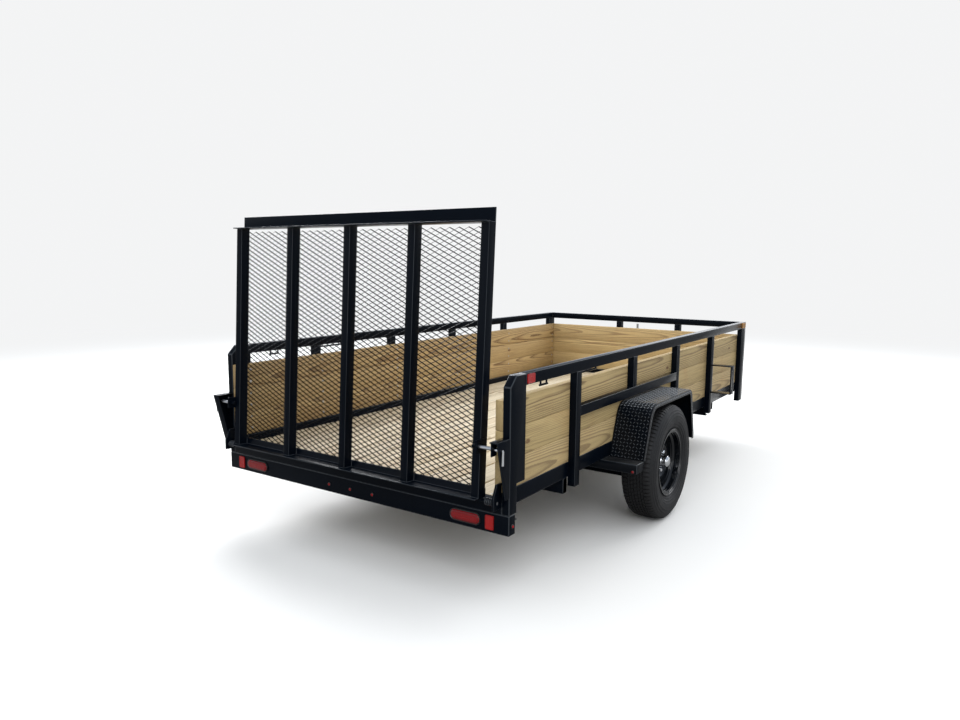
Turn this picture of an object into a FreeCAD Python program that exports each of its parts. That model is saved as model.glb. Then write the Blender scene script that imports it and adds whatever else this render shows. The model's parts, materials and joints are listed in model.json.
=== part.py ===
import FreeCAD, Part
import math
import os
import Sketcher
from FreeCAD import Placement, Rotation, Vector

# Single-axle utility trailer, in millimetres.
# X points to the trailer's right, Y forward to the hitch, Z up, with the ground at Z = 0.
# Stations are measured forward from the rear face of the bumper. Every sub-part is then
# shifted back along Y by origin_station, so that the origin is under the middle of the length.

doc = FreeCAD.newDocument("UtilityTrailer")
sheet = doc.addObject("Spreadsheet::Sheet", "Dims")

# Name, value in millimetres or degrees, meaning
driving = [
    ("half_width", 914.4, "centre line to the outer face of the posts and uprights"),
    ("bed_front", 3708.4, "station of the outer face of the front posts"),
    ("tube_thin", 38.1, "width of the post, upright and rail tubes across the trailer"),
    ("tube_deep", 50.8, "depth of the upright tubes along the trailer"),
    ("tube_wall", 3.2, "wall of the small tubes"),
    ("rail_top", 996.0, "height of the top rail"),
    ("rail_tall", 50.8, "height of the top rail tube"),
    ("frame_top", 497.0, "height of the top of the side frame tubes"),
    ("frame_tall", 76.2, "height of the side frame tubes"),
    ("frame_wide", 50.8, "width of the side frame tubes"),
    ("frame_wall", 4.8, "wall of the frame tubes and channels"),
    ("cross_flange", 38.1, "flange width of the cross members and tongue beams"),
    ("upright_foot", 376.0, "height of the lower end of the uprights"),
    ("plank_thick", 38.1, "thickness of floor planks and wall boards"),
    ("plank_gap", 9.525, "gap between floor planks"),
    ("wall_top", 892.0, "height of the top of the wall boards"),
    ("board_gap", 1.5, "gap between wall boards"),
    ("end_gap", 3.0, "gap at the ends of planks and boards"),
    ("bumper_bottom", 312.0, "height of the lower edge of the bumper"),
    ("bumper_tall", 88.9, "height of the bumper"),
    ("bumper_deep", 50.8, "depth of the bumper"),
    ("post_deep", 127.0, "depth of the rear corner posts"),
    ("post_foot_deep", 60.0, "depth of the foot of the rear corner posts"),
    ("post_step", 530.0, "height where the rear posts narrow to their foot"),
    ("post_bevel", 46.0, "bevel on top of the rear posts"),
    ("front_post_deep", 101.6, "depth of the front corner posts"),
    ("brace_bottom", 722.0, "height of the lower face of the side braces"),
    ("upright_first", 632.0, "station of the middle of the first side upright"),
    ("upright_second", 1340.0, "station of the short upright over the fender"),
    ("upright_third", 2062.0, "station of the upright ahead of the fender"),
    ("upright_fourth", 2815.0, "station of the last upright before the front post"),
    ("gate_clearance", 77.8, "inner face of the posts to the side of the ramp gate"),
    ("gate_tube_wide", 40.0, "width of the gate uprights"),
    ("gate_tube_deep", 50.8, "depth of the gate uprights"),
    ("gate_tall", 1150.0, "length of the gate uprights"),
    ("gate_top_leg", 66.0, "standing leg of the angle along the top of the gate"),
    ("gate_shelf", 76.2, "lying leg of the angles along the top and bottom of the gate"),
    ("gate_low_leg", 38.1, "standing leg of the angle along the bottom of the gate"),
    ("gate_angle_thick", 5.0, "thickness of the gate's angles"),
    ("gate_lean", 3.2, "forward lean of the closed gate, degrees"),
    ("gate_mesh_thick", 4.0, "thickness of the gate's mesh"),
    ("gate_mesh_inset", 6.0, "mesh edge to the outer face of the gate"),
    ("diamond_wide", 50.8, "width of the diamonds in the gate's mesh"),
    ("diamond_tall", 23.4, "height of the diamonds in the gate's mesh"),
    ("hinge_station", -37.0, "station of the gate's hinge axis"),
    ("hinge_height", 462.0, "height of the gate's hinge axis"),
    ("hinge_rise", 12.0, "hinge axis to the lower end of the gate uprights"),
    ("hinge_pin_radius", 6.35, "radius of the gate's hinge pins"),
    ("hinge_play", 0.3, "radial play of the hinge pins"),
    ("hinge_ear_thick", 9.5, "thickness of the hinge ears on the posts"),
    ("coil_radius", 14.0, "middle radius of the helper springs"),
    ("coil_wire", 3.0, "wire radius of the helper springs"),
    ("coil_pitch", 9.0, "pitch of the helper springs"),
    ("coil_gap", 17.3, "gap between the helper springs and the gate"),
    ("latch_height", 700.0, "height of the latch pins"),
    ("latch_top", 736.0, "height of the top of the latch brackets"),
    ("latch_foot", 480.0, "height of the lower end of the latch brackets"),
    ("latch_reach", 100.0, "how far the latch brackets stand behind the posts"),
    ("latch_foot_reach", 34.0, "reach of the latch brackets at their lower end"),
    ("latch_plate", 4.8, "plate thickness of the latch brackets"),
    ("latch_pin_radius", 8.0, "radius of the latch pins"),
    ("latch_pin_gap", 5.5, "gap between a latch pin and its bracket"),
    ("latch_pin_station", -70.0, "station of the latch pins"),
    ("axle_station", 1485.0, "station of the wheels"),
    ("tyre_radius", 331.5, "radius of the tyres"),
    ("tyre_wide", 200.0, "width of the tyres"),
    ("wheel_gap", 30.2, "gap between the side frames and the tyres"),
    ("rim_radius", 177.8, "radius of the bead seat of the wheels"),
    ("rim_lip", 194.0, "radius of the rim flanges"),
    ("rim_half", 82.0, "half the width over the rim flanges"),
    ("rim_well", 160.0, "outer radius of the well of the rims"),
    ("rim_skin", 4.0, "thickness of the rims"),
    ("bolt_circle", 57.15, "radius of the wheel bolt circle"),
    ("fender_gap", 3.7, "gap between the side frames and the fenders"),
    ("fender_wide", 197.0, "width of the fenders"),
    ("fender_top", 708.0, "height of the flat top of the fenders"),
    ("fender_rear", 392.0, "wheel station to the rear foot of the fenders"),
    ("fender_front", 440.0, "wheel station to the front foot of the fenders"),
    ("fender_plate", 3.2, "thickness of the tread plate"),
    ("fender_lip", 26.0, "depth of the lip along the outer edge of the fenders"),
    ("axle_drop", 101.6, "drop of the axle beam under the spindles"),
    ("axle_beam_radius", 30.2, "radius of the axle beam"),
    ("spindle_radius", 22.0, "radius of the spindles"),
    ("spring_half", 330.0, "half the length of the leaf springs between their eyes"),
    ("spring_wide", 44.5, "width of the leaf springs"),
    ("leaf_thick", 6.5, "thickness of one spring leaf"),
    ("spring_eye_height", 352.0, "height of the spring eyes"),
    ("tongue_angle", 25.0, "angle of each tongue beam to the centre line, degrees"),
    ("tongue_tip", 4800.0, "station of the front end of the tongue beams"),
    ("tongue_tip_half", 62.0, "centre line to the outer face of a tongue beam at its tip"),
    ("tongue_long", 1850.0, "length of the tongue beams"),
    ("ball_station", 4927.6, "station of the hitch ball"),
    ("ball_height", 414.0, "height of the middle of the hitch ball"),
    ("ball_radius", 25.4, "radius of the hitch ball"),
    ("coupler_nose", 44.0, "outer radius of the coupler's nose"),
    ("jack_station", 4280.0, "station of the tongue jack"),
    ("jack_standoff", 62.0, "jack axis to the outer face of the tongue beam"),
    ("jack_tube_radius", 28.6, "radius of the jack's outer tube"),
    ("jack_leg_radius", 23.8, "radius of the jack's inner leg"),
    ("jack_top", 760.0, "height of the top of the jack's outer tube"),
    ("jack_tube_bottom", 200.0, "height of the lower end of the jack's outer tube"),
    ("jack_foot_radius", 55.0, "radius of the jack's foot plate"),
    ("jack_foot_thick", 5.0, "thickness of the jack's foot plate"),
    ("jack_leg_long", 400.0, "length of the jack's inner leg"),
    ("spare_bottom", 530.0, "height of the lower arm of the spare wheel bracket"),
    ("spare_top", 737.0, "height of the upper arm of the spare wheel bracket"),
    ("spare_reach", 146.0, "reach of the spare wheel bracket from the uprights"),
    ("spare_wide", 76.2, "width of the spare wheel bracket along the trailer"),
    ("spare_thick", 6.4, "thickness of the spare wheel bracket"),
    ("spare_station", 2790.0, "station of the rear edge of the spare wheel bracket"),
    ("step_deep", 101.6, "depth of the tube that makes a step behind the fenders"),
    ("step_tall", 50.8, "height of the tube behind the fenders"),
    ("step_behind", 93.0, "rear foot of the fenders to the rear face of the tube behind them"),
    ("stay_short", 48.0, "outer edge of the fenders to the end of the member ahead of them"),
    ("cross_first", 90.0, "station of the first cross member"),
    ("cross_second", 560.0, "station of the cross member ahead of the first"),
    ("cross_sixth", 2400.0, "station of the cross member ahead of the fenders"),
    ("cross_last", 2850.0, "station of the last cross member"),
    ("front_upright_left", -190.0, "centre line to the middle of the left front upright"),
    ("front_upright_right", 350.0, "centre line to the middle of the right front upright"),
    ("loop_station", 272.0, "station of the rear end of the tie-down loops"),
    ("loop_long", 72.0, "length of the tie-down loops"),
    ("loop_drop", 22.0, "drop of the tie-down loops under the top rail"),
    ("tie_rod_station", 662.0, "station of the rear end of the tie rods under the top rail"),
    ("tie_rod_long", 196.0, "length of the tie rods"),
    ("tie_rod_drop", 13.0, "drop of the tie rods under the top rail"),
    ("loop_radius", 5.0, "radius of the tie-down loops and tie rods"),
    ("lamp_inset", 225.4, "end of the bumper to the middle of a tail lamp"),
    ("lamp_rise", 46.0, "lower edge of the bumper to the middle of a tail lamp"),
    ("lamp_half_long", 82.5, "half the length of a tail lamp"),
    ("lamp_half_tall", 28.5, "half the height of a tail lamp"),
    ("lamp_reach", 9.0, "how far a tail lamp stands out of the bumper"),
    ("reflector_inset", 75.4, "end of the bumper to the outer edge of a rear reflector"),
    ("reflector_wide", 44.0, "width of the rear reflectors"),
    ("reflector_tall", 64.0, "height of the rear reflectors"),
    ("reflector_thick", 5.0, "thickness of all reflectors"),
    ("marker_radius", 9.0, "radius of the small marker lamps"),
    ("marker_reach", 8.0, "how far the marker lamps stand out"),
    ("marker_pitch", 144.0, "pitch of the three marker lamps in the bumper"),
]


class Size:
    # A size with its value and the expression that ties it to the sheet.
    def __init__(self, value, text):
        self.value = value
        self.text = text

    def __add__(self, other):
        other = size(other)
        return Size(self.value + other.value, "(%s + %s)" % (self.text, other.text))

    def __sub__(self, other):
        other = size(other)
        return Size(self.value - other.value, "(%s - %s)" % (self.text, other.text))

    def __mul__(self, other):
        other = size(other)
        return Size(self.value * other.value, "(%s * %s)" % (self.text, other.text))

    def __truediv__(self, other):
        other = size(other)
        return Size(self.value / other.value, "(%s / %s)" % (self.text, other.text))

    def __neg__(self):
        return Size(-self.value, "(0 - %s)" % self.text)

    def __radd__(self, other):
        return size(other) + self

    def __rmul__(self, other):
        return size(other) * self


def size(value):
    return value if isinstance(value, Size) else Size(value, repr(value))


class Sizes:
    pass


d = Sizes()
for row, (name, value, meaning) in enumerate(driving, start=1):
    sheet.set("A%d" % row, name)
    sheet.set("B%d" % row, str(value))
    sheet.set("C%d" % row, meaning)
    sheet.setAlias("B%d" % row, name)
    setattr(d, name, Size(value, "Dims." + name))
doc.recompute()

zero = size(0.0)
node_list = []

# Sizes that follow from the driving ones
frame_bottom = d.frame_top - d.frame_tall
deck_top = frame_bottom + d.plank_thick
cross_bottom = frame_bottom - d.frame_tall
inner_face = d.half_width - d.tube_thin
frame_inner = inner_face - d.frame_wide
rail_bottom = d.rail_top - d.rail_tall
bumper_top = d.bumper_bottom + d.bumper_tall
board_tall = (d.wall_top - d.frame_top - d.board_gap * 2) / 3
brace_top = d.brace_bottom + d.tube_deep
fender_inner = inner_face + d.fender_gap
fender_outer = fender_inner + d.fender_wide
wheel_offset = inner_face + d.wheel_gap + d.tyre_wide / 2
gate_half = inner_face - d.gate_clearance
coil_long = d.gate_clearance - d.hinge_ear_thick - d.coil_wire * 2 - d.coil_gap
nose_tip = d.ball_station + d.coupler_nose
origin_station = (nose_tip - d.latch_reach) / 2
beam_height = d.tyre_radius - d.axle_drop
fender_foot_rear = d.axle_station - d.fender_rear
fender_foot_front = d.axle_station + d.fender_front
lean_slope = Size(math.tan(math.radians(d.gate_lean.value)), "tan(Dims.gate_lean * 1 deg)")


# Helpers

def tie(item, path, value):
    item.setExpression(path, size(value).text)


def put(item, x, y, z):
    tie(item, "Placement.Base.x", x)
    tie(item, "Placement.Base.y", y)
    tie(item, "Placement.Base.z", z)
    return item


def block(name, x, y, z, length, width, height):
    # A box from its lower corner, with its sizes along X, Y and Z.
    box = doc.addObject("Part::Box", name)
    tie(box, "Length", length)
    tie(box, "Width", width)
    tie(box, "Height", height)
    return put(box, x, y, z)


def rod(name, x, y, z, radius, height, axis="Z"):
    # A cylinder that runs from its base point along one axis.
    turns = {
        "X": Rotation(Vector(0, 1, 0), 90),
        "Y": Rotation(Vector(1, 0, 0), -90),
        "Z": Rotation(),
    }
    bar = doc.addObject("Part::Cylinder", name)
    bar.Placement = Placement(Vector(0, 0, 0), turns[axis])
    tie(bar, "Radius", radius)
    tie(bar, "Height", height)
    return put(bar, x, y, z)


def cut(name, base, tool):
    result = doc.addObject("Part::Cut", name)
    result.Base = base
    result.Tool = tool
    return result


def fuse(name, shapes):
    result = doc.addObject("Part::MultiFuse", name)
    result.Shapes = shapes
    return result


def group(name, links):
    result = doc.addObject("Part::Compound", name)
    result.Links = links
    return result


def mirror(name, source):
    # The same piece on the other side of the trailer.
    result = doc.addObject("Part::Mirroring", name)
    result.Source = source
    result.Normal = Vector(1, 0, 0)
    return result


def both_sides(name, right):
    return group(name, [right, mirror(name + "Mirror", right)])


def tube(name, corner, extent, axis, wall):
    # A rectangular hollow section, open at both ends along its axis.
    outer = block(name + "Outer", *corner, *extent)
    inner_corner = [c if a == axis else c + wall for c, a in zip(corner, "XYZ")]
    inner_extent = [e if a == axis else e - wall * 2 for e, a in zip(extent, "XYZ")]
    bore = block(name + "Bore", *inner_corner, *inner_extent)
    return cut(name, outer, bore)


def new_body(name):
    return doc.addObject("PartDesign::Body", name)


def plane_of(body, role):
    return [item for item in body.Origin.OriginFeatures if item.Role == role][0]


def outline(body, name, role, corners):
    # A closed outline. Each corner is (across, up) or (across, up, radius, side): with a
    # radius, the stretch to the next corner is an arc that bulges left (1) or right (-1).
    sketch = body.newObject("Sketcher::SketchObject", name)
    sketch.AttachmentSupport = [(plane_of(body, role), "")]
    sketch.MapMode = "FlatFace"
    count = len(corners)
    spots = [Vector(size(c[0]).value, size(c[1]).value, 0) for c in corners]
    ends = []
    for i, corner in enumerate(corners):
        start = spots[i]
        stop = spots[(i + 1) % count]
        if len(corner) == 2:
            index = sketch.addGeometry(Part.LineSegment(start, stop), False)
            ends.append((index, 1, 2))
            continue
        radius = size(corner[2]).value
        side = corner[3]
        chord = stop - start
        across = Vector(-chord.y, chord.x, 0).normalize()
        rise = radius - math.sqrt(radius * radius - chord.Length * chord.Length / 4)
        middle = (start + stop) / 2 + across * rise * side
        arc = Part.Arc(start, middle, stop)
        index = sketch.addGeometry(arc, False)
        flipped = sketch.getPoint(index, 1).distanceToPoint(start) > 1e-6
        ends.append((index, 2, 1) if flipped else (index, 1, 2))
    for i in range(count):
        index, head, tail = ends[i]
        after = ends[(i + 1) % count]
        sketch.addConstraint(Sketcher.Constraint("Coincident", index, tail, after[0], after[1]))
    for i, corner in enumerate(corners):
        index, head, tail = ends[i]
        hold(sketch, "DistanceX", index, head, spots[i].x, corner[0])
        hold(sketch, "DistanceY", index, head, spots[i].y, corner[1])
        if len(corner) == 4:
            radius = size(corner[2])
            number = sketch.addConstraint(Sketcher.Constraint("Radius", index, radius.value))
            sketch.setExpression("Constraints[%d]" % number, radius.text)
    return sketch


def hold(sketch, kind, index, point, value, expression):
    # Holds one coordinate of a corner, measured from the sketch's origin.
    number = sketch.addConstraint(Sketcher.Constraint(kind, -1, 1, index, point, value))
    sketch.setExpression("Constraints[%d]" % number, size(expression).text)


def pad(body, sketch, length, midplane=False, reverse=False):
    feature = body.newObject("PartDesign::Pad", body.Name + "Pad")
    feature.Profile = sketch
    feature.Midplane = midplane
    feature.Reversed = reverse
    tie(feature, "Length", length)
    body.Tip = feature
    return feature


def revolve(body, sketch, axis):
    # A piece turned round one axis of its sketch.
    feature = body.newObject("PartDesign::Revolution", body.Name + "Turn")
    feature.Profile = sketch
    feature.ReferenceAxis = (sketch, [axis])
    feature.Angle = 360
    body.Tip = feature
    return feature


def plate_body(name, role, corners, thick, x=zero, y=zero, z=zero, midplane=False):
    # A plate of one thickness, padded from an outline.
    body = new_body(name)
    pad(body, outline(body, name + "Outline", role, corners), thick, midplane)
    return put(body, x, y, z)


def turned_body(name, corners, role="XY_Plane", axis="H_Axis"):
    body = new_body(name)
    revolve(body, outline(body, name + "Section", role, corners), axis)
    return body


def node(label, item):
    # Names a finished sub-part and shifts it so that the origin is mid-length.
    holder = group(label + "_whole", [item])
    holder.Label = label
    tie(holder, "Placement.Base.y", -origin_station)
    node_list.append(holder)
    return holder


def gate_node(label, item):
    # Names a sub-part of the gate, drawn upright about the hinge axis, and leans it forward.
    holder = group(label + "_whole", [item])
    holder.Label = label
    holder.Placement = Placement(Vector(0, 0, 0), Rotation(Vector(-1, 0, 0), d.gate_lean.value))
    tie(holder, "Placement.Rotation.Angle", d.gate_lean)
    tie(holder, "Placement.Base.y", d.hinge_station - origin_station)
    tie(holder, "Placement.Base.z", d.hinge_height)
    node_list.append(holder)
    return holder


# Frame

def frame_side_rails():
    rail_start = d.bumper_deep
    rail = tube(
        "FrameSideRail",
        (frame_inner, rail_start, frame_bottom),
        (d.frame_wide, d.bed_front - d.tube_thin - rail_start, d.frame_tall),
        "Y",
        d.frame_wall,
    )
    node("frame_side_rails", both_sides("FrameSideRails", rail))


def frame_headers():
    rear = tube(
        "RearHeader",
        (-inner_face, zero, bumper_top),
        (inner_face * 2, d.tube_deep, deck_top - bumper_top),
        "X",
        d.frame_wall,
    )
    front = tube(
        "FrontHeader",
        (-frame_inner, d.bed_front - d.tube_thin - d.frame_wide, frame_bottom),
        (frame_inner * 2, d.frame_wide, d.frame_tall),
        "X",
        d.frame_wall,
    )
    node("frame_headers", group("FrameHeaders", [rear, front]))


def cross_members():
    # Channels: station of the rear face, and half the length
    members = [
        (d.cross_first, inner_face),
        (d.cross_second, inner_face),
        (d.axle_station - d.cross_flange / 2, inner_face),
        (fender_foot_front, fender_outer - d.stay_short),
        (d.cross_sixth, inner_face),
        (d.cross_last, inner_face),
    ]
    shapes = []
    for i, (station, half) in enumerate(members):
        name = "CrossMember%d" % i
        outer = block(name + "Outer", -half, station, cross_bottom, half * 2, d.cross_flange, d.frame_tall)
        hollow = block(
            name + "Hollow",
            -half,
            d.frame_wall + station,
            cross_bottom + d.frame_wall,
            half * 2,
            d.cross_flange,
            d.frame_tall - d.frame_wall * 2,
        )
        shapes.append(cut(name, outer, hollow))
    node("cross_members", group("CrossMembers", shapes))


def fender_step():
    # A flat tube with capped ends, right across under the rear feet of the fenders
    wall = d.tube_wall
    rear = fender_foot_rear - d.step_behind
    low = frame_bottom - d.step_tall
    outer = block("StepOuter", -fender_outer, rear, low, fender_outer * 2, d.step_deep, d.step_tall)
    hollow = block(
        "StepHollow",
        -fender_outer + wall,
        rear + wall,
        low + wall,
        (fender_outer - wall) * 2,
        d.step_deep - wall * 2,
        d.step_tall - wall * 2,
    )
    node("fender_step", cut("StepTube", outer, hollow))


def tongue_beams():
    # Channels, drawn straight back from the tip and then turned out to the tongue angle
    outer = block(
        "TongueOuter", -d.cross_flange, -d.tongue_long, zero, d.cross_flange, d.tongue_long,
        d.frame_tall,
    )
    hollow = block(
        "TongueHollow",
        -d.cross_flange,
        -d.tongue_long,
        d.frame_wall,
        d.cross_flange - d.frame_wall,
        d.tongue_long,
        d.frame_tall - d.frame_wall * 2,
    )
    beam = cut("TongueBeam", outer, hollow)
    beam.Placement = Placement(Vector(0, 0, 0), Rotation(Vector(0, 0, 1), d.tongue_angle.value))
    tie(beam, "Placement.Rotation.Angle", d.tongue_angle)
    put(beam, d.tongue_tip_half, d.tongue_tip, cross_bottom)
    node("tongue_beams", both_sides("TongueBeams", beam))


# Bumper, posts and rails

def bumper():
    # A tube across the rear with both ends capped
    outer = block(
        "BumperOuter", -d.half_width, zero, d.bumper_bottom, d.half_width * 2, d.bumper_deep,
        d.bumper_tall,
    )
    wall = d.frame_wall
    hollow = block(
        "BumperHollow",
        -d.half_width + wall,
        wall,
        d.bumper_bottom + wall,
        (d.half_width - wall) * 2,
        d.bumper_deep - wall * 2,
        d.bumper_tall - wall * 2,
    )
    node("rear_bumper", cut("BumperTube", outer, hollow))


def rear_posts():
    corners = [
        (zero, bumper_top),
        (d.post_foot_deep, bumper_top),
        (d.post_foot_deep, d.post_step),
        (d.post_deep, d.post_step),
        (d.post_deep, d.rail_top),
        (d.post_bevel, d.rail_top),
        (zero, d.rail_top - d.post_bevel),
    ]
    post = plate_body("RearPost", "YZ_Plane", corners, d.tube_thin, x=inner_face)
    node("rear_posts", both_sides("RearPosts", post))


def side_uprights():
    # Station of the middle, and 1 where the upright runs down to the frame
    stations = [(d.upright_first, 1), (d.upright_second, 0), (d.upright_third, 1), (d.upright_fourth, 1)]
    shapes = []
    for i, (station, full) in enumerate(stations):
        low = d.upright_foot if full else brace_top
        rear = station - d.tube_deep / 2
        corner = (inner_face, rear, low)
        shapes.append(tube(
            "Upright%d" % i, corner, (d.tube_thin, d.tube_deep, rail_bottom - low), "Z",
            d.tube_wall,
        ))
    rear = d.bed_front - d.front_post_deep
    extent = (d.tube_thin, d.front_post_deep, rail_bottom - cross_bottom)
    shapes.append(tube("FrontPost", (inner_face, rear, cross_bottom), extent, "Z", d.tube_wall))
    node("side_uprights", both_sides("SideUprights", group("SideUprightsRight", shapes)))


def front_uprights():
    low = frame_bottom
    shapes = []
    for i, middle in enumerate((d.front_upright_left, d.front_upright_right)):
        left = middle - d.tube_deep / 2
        corner = (left, d.bed_front - d.tube_thin, low)
        shapes.append(tube(
            "FrontUpright%d" % i, corner, (d.tube_deep, d.tube_thin, rail_bottom - low), "Z",
            d.tube_wall,
        ))
    node("front_uprights", group("FrontUprights", shapes))


def top_rail():
    long_part = d.bed_front - d.post_deep
    side = tube(
        "TopRailSide", (inner_face, d.post_deep, rail_bottom),
        (d.tube_thin, long_part, d.rail_tall), "Y", d.tube_wall,
    )
    front = tube(
        "TopRailFront",
        (-inner_face, d.bed_front - d.tube_thin, rail_bottom),
        (inner_face * 2, d.tube_thin, d.rail_tall),
        "X",
        d.tube_wall,
    )
    node("top_rail", fuse("TopRail", [side, mirror("TopRailLeft", side), front]))


def side_braces():
    # Brace tubes over the fenders, between the first and the third upright
    start = d.upright_first + d.tube_deep / 2
    stop = d.upright_third - d.tube_deep / 2
    brace = tube(
        "SideBrace",
        (inner_face, start, d.brace_bottom),
        (d.tube_thin, stop - start, d.tube_deep),
        "Y",
        d.tube_wall,
    )
    node("side_braces", both_sides("SideBraces", brace))


# Wood

def floor_planks():
    count = 11
    start = d.tube_deep + d.end_gap
    stop = d.bed_front - d.tube_thin - d.frame_wide - d.end_gap
    wide = (frame_inner * 2 - d.plank_gap * (count + 1)) / count
    shapes = []
    for i in range(count):
        left = -frame_inner + d.plank_gap * (i + 1) + wide * i
        shapes.append(block("Plank%d" % i, left, start, frame_bottom, wide, stop - start, d.plank_thick))
    node("floor_planks", group("FloorPlanks", shapes))


def board_heights():
    return [d.frame_top + (board_tall + d.board_gap) * i for i in range(3)]


def side_boards():
    start = d.end_gap
    stop = d.bed_front - d.tube_thin - d.plank_thick - d.end_gap
    shapes = []
    for i, low in enumerate(board_heights()):
        shapes.append(block(
            "SideBoard%d" % i, inner_face - d.plank_thick, start, low, d.plank_thick, stop - start,
            board_tall,
        ))
    right = group("SideBoardsRight", shapes)
    node("side_boards_right", group("SideBoardsRightWhole", [right]))
    node("side_boards_left", group("SideBoardsLeftWhole", [mirror("SideBoardsLeft", right)]))


def front_boards():
    shapes = []
    for i, low in enumerate(board_heights()):
        corner = (-inner_face, d.bed_front - d.tube_thin - d.plank_thick, low)
        shapes.append(block("FrontBoard%d" % i, *corner, inner_face * 2, d.plank_thick, board_tall))
    node("front_boards", group("FrontBoards", shapes))


# Ramp gate, drawn upright with the hinge axis as its origin

gate_front = d.gate_tube_deep / 2
gate_rear = -gate_front


def gate_frame():
    count = 5
    step = (gate_half * 2 - d.gate_tube_wide) / (count - 1)
    parts = []
    for i in range(count):
        corner = (-gate_half + step * i, gate_rear, d.hinge_rise)
        extent = (d.gate_tube_wide, d.gate_tube_deep, d.gate_tall)
        parts.append(tube("GateUpright%d" % i, corner, extent, "Z", d.tube_wall))
    top = d.hinge_rise + d.gate_tall
    shelf_rear = gate_front - d.gate_shelf
    thick = d.gate_angle_thick
    parts.append(block("GateTopShelf", -gate_half, shelf_rear, top, gate_half * 2, d.gate_shelf, thick))
    parts.append(block(
        "GateTopLeg", -gate_half, gate_front - thick, top, gate_half * 2, thick, d.gate_top_leg,
    ))
    low = d.hinge_rise - thick
    parts.append(block("GateLowShelf", -gate_half, shelf_rear, low, gate_half * 2, d.gate_shelf, thick))
    parts.append(block("GateLowLeg", -gate_half, gate_front, low, gate_half * 2, thick, d.gate_low_leg))
    gate_node("gate_frame", fuse("GateFrame", parts))


def clipped(corners, slope, level, side):
    # The part of a flat shape above (1) or below (-1) the line up = slope * across + level
    kept = []
    heights = [(up - slope * across - level) * side for across, up in corners]
    for i, (across, up) in enumerate(corners):
        before_across, before_up = corners[i - 1]
        before, here = heights[i - 1], heights[i]
        if before * here < 0:
            share = before / (before - here)
            kept.append((
                before_across + (across - before_across) * share,
                before_up + (up - before_up) * share,
            ))
        if here >= 0:
            kept.append((across, up))
    return kept


def area(corners):
    total = 0.0
    for i, (across, up) in enumerate(corners):
        total += corners[i - 1][0] * up - across * corners[i - 1][1]
    return total / 2


def flat_wire(corners):
    points = [Vector(across, 0, up) for across, up in corners]
    return Part.makePolygon(points + points[:1])


def gate_mesh():
    # Expanded metal: two layers of slanted strands that cross and leave diamonds
    border = 6.0
    strand = 4.0
    layer_gap = 0.2
    least_slot = 80.0
    half = gate_half.value - d.gate_mesh_inset.value
    low = d.hinge_rise.value + d.gate_low_leg.value
    high = d.hinge_rise.value + d.gate_tall.value - d.gate_mesh_inset.value
    tall = d.diamond_tall.value
    slope = tall / d.diamond_wide.value
    rise = strand * math.sqrt(1 + slope * slope)
    layer_thick = (d.gate_mesh_thick.value - layer_gap) / 2
    sheet_corners = [(-half, low), (half, low), (half, high), (-half, high)]
    inner = [
        (-half + border, low + border), (half - border, low + border),
        (half - border, high - border), (-half + border, high - border),
    ]
    first = int((low - slope * half) / tall) - 1
    last = int((high + slope * half) / tall) + 1
    layers = []
    for number, lean in enumerate((1, -1)):
        wires = [flat_wire(sheet_corners)]
        for row in range(first, last):
            level = row * tall
            slot = clipped(inner, slope * lean, level + rise / 2, 1)
            slot = clipped(slot, slope * lean, level + tall - rise / 2, -1)
            if len(slot) > 2 and area(slot) > least_slot:
                wires.append(flat_wire(list(reversed(slot))))
        layer = Part.Face(wires).extrude(Vector(0, layer_thick, 0))
        strands = doc.addObject("Part::Feature", "MeshLayer%d" % number)
        strands.Shape = layer
        layers.append(put(strands, zero, gate_front + number * (layer_thick + layer_gap), zero))
    gate_node("gate_mesh", group("GateMeshLayers", layers))


def gate_hinge_pins():
    # Pins that stick out of the ends of the gate's lower angle, each carried by a block
    reach = inner_face - gate_half + 2
    block_long = 20.0
    pin = rod("HingePin", gate_half - block_long, zero, zero, d.hinge_pin_radius, reach + block_long, "X")
    seat_low = -d.hinge_pin_radius
    seat_tall = d.hinge_rise - d.gate_angle_thick - seat_low
    seat = block(
        "HingeSeat", gate_half - block_long, -d.hinge_pin_radius, seat_low, block_long,
        d.hinge_pin_radius * 2, seat_tall,
    )
    gate_node("gate_hinge_pins", both_sides("GateHingePins", fuse("HingePinSeat", [pin, seat])))


def gate_latch_pins():
    # A plate on the side of the outer upright carries the sliding latch pin
    rise = d.latch_height - d.hinge_height
    plate_thick = 8.0
    plate_half = 28.0
    plate_front = 20.0
    overlap = 24.0
    station = d.latch_pin_station - d.hinge_station - rise * lean_slope
    rear = station - plate_front
    plate = block("LatchPlate", gate_half, rear, rise - plate_half, plate_thick, -rear, plate_half * 2)
    reach = inner_face - gate_half - d.latch_pin_gap + overlap
    pin = rod("LatchPin", gate_half - overlap, station, rise, d.latch_pin_radius, reach, "X")
    gate_node("gate_latch_pins", both_sides("GateLatchPins", fuse("LatchPinPlate", [plate, pin])))


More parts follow.
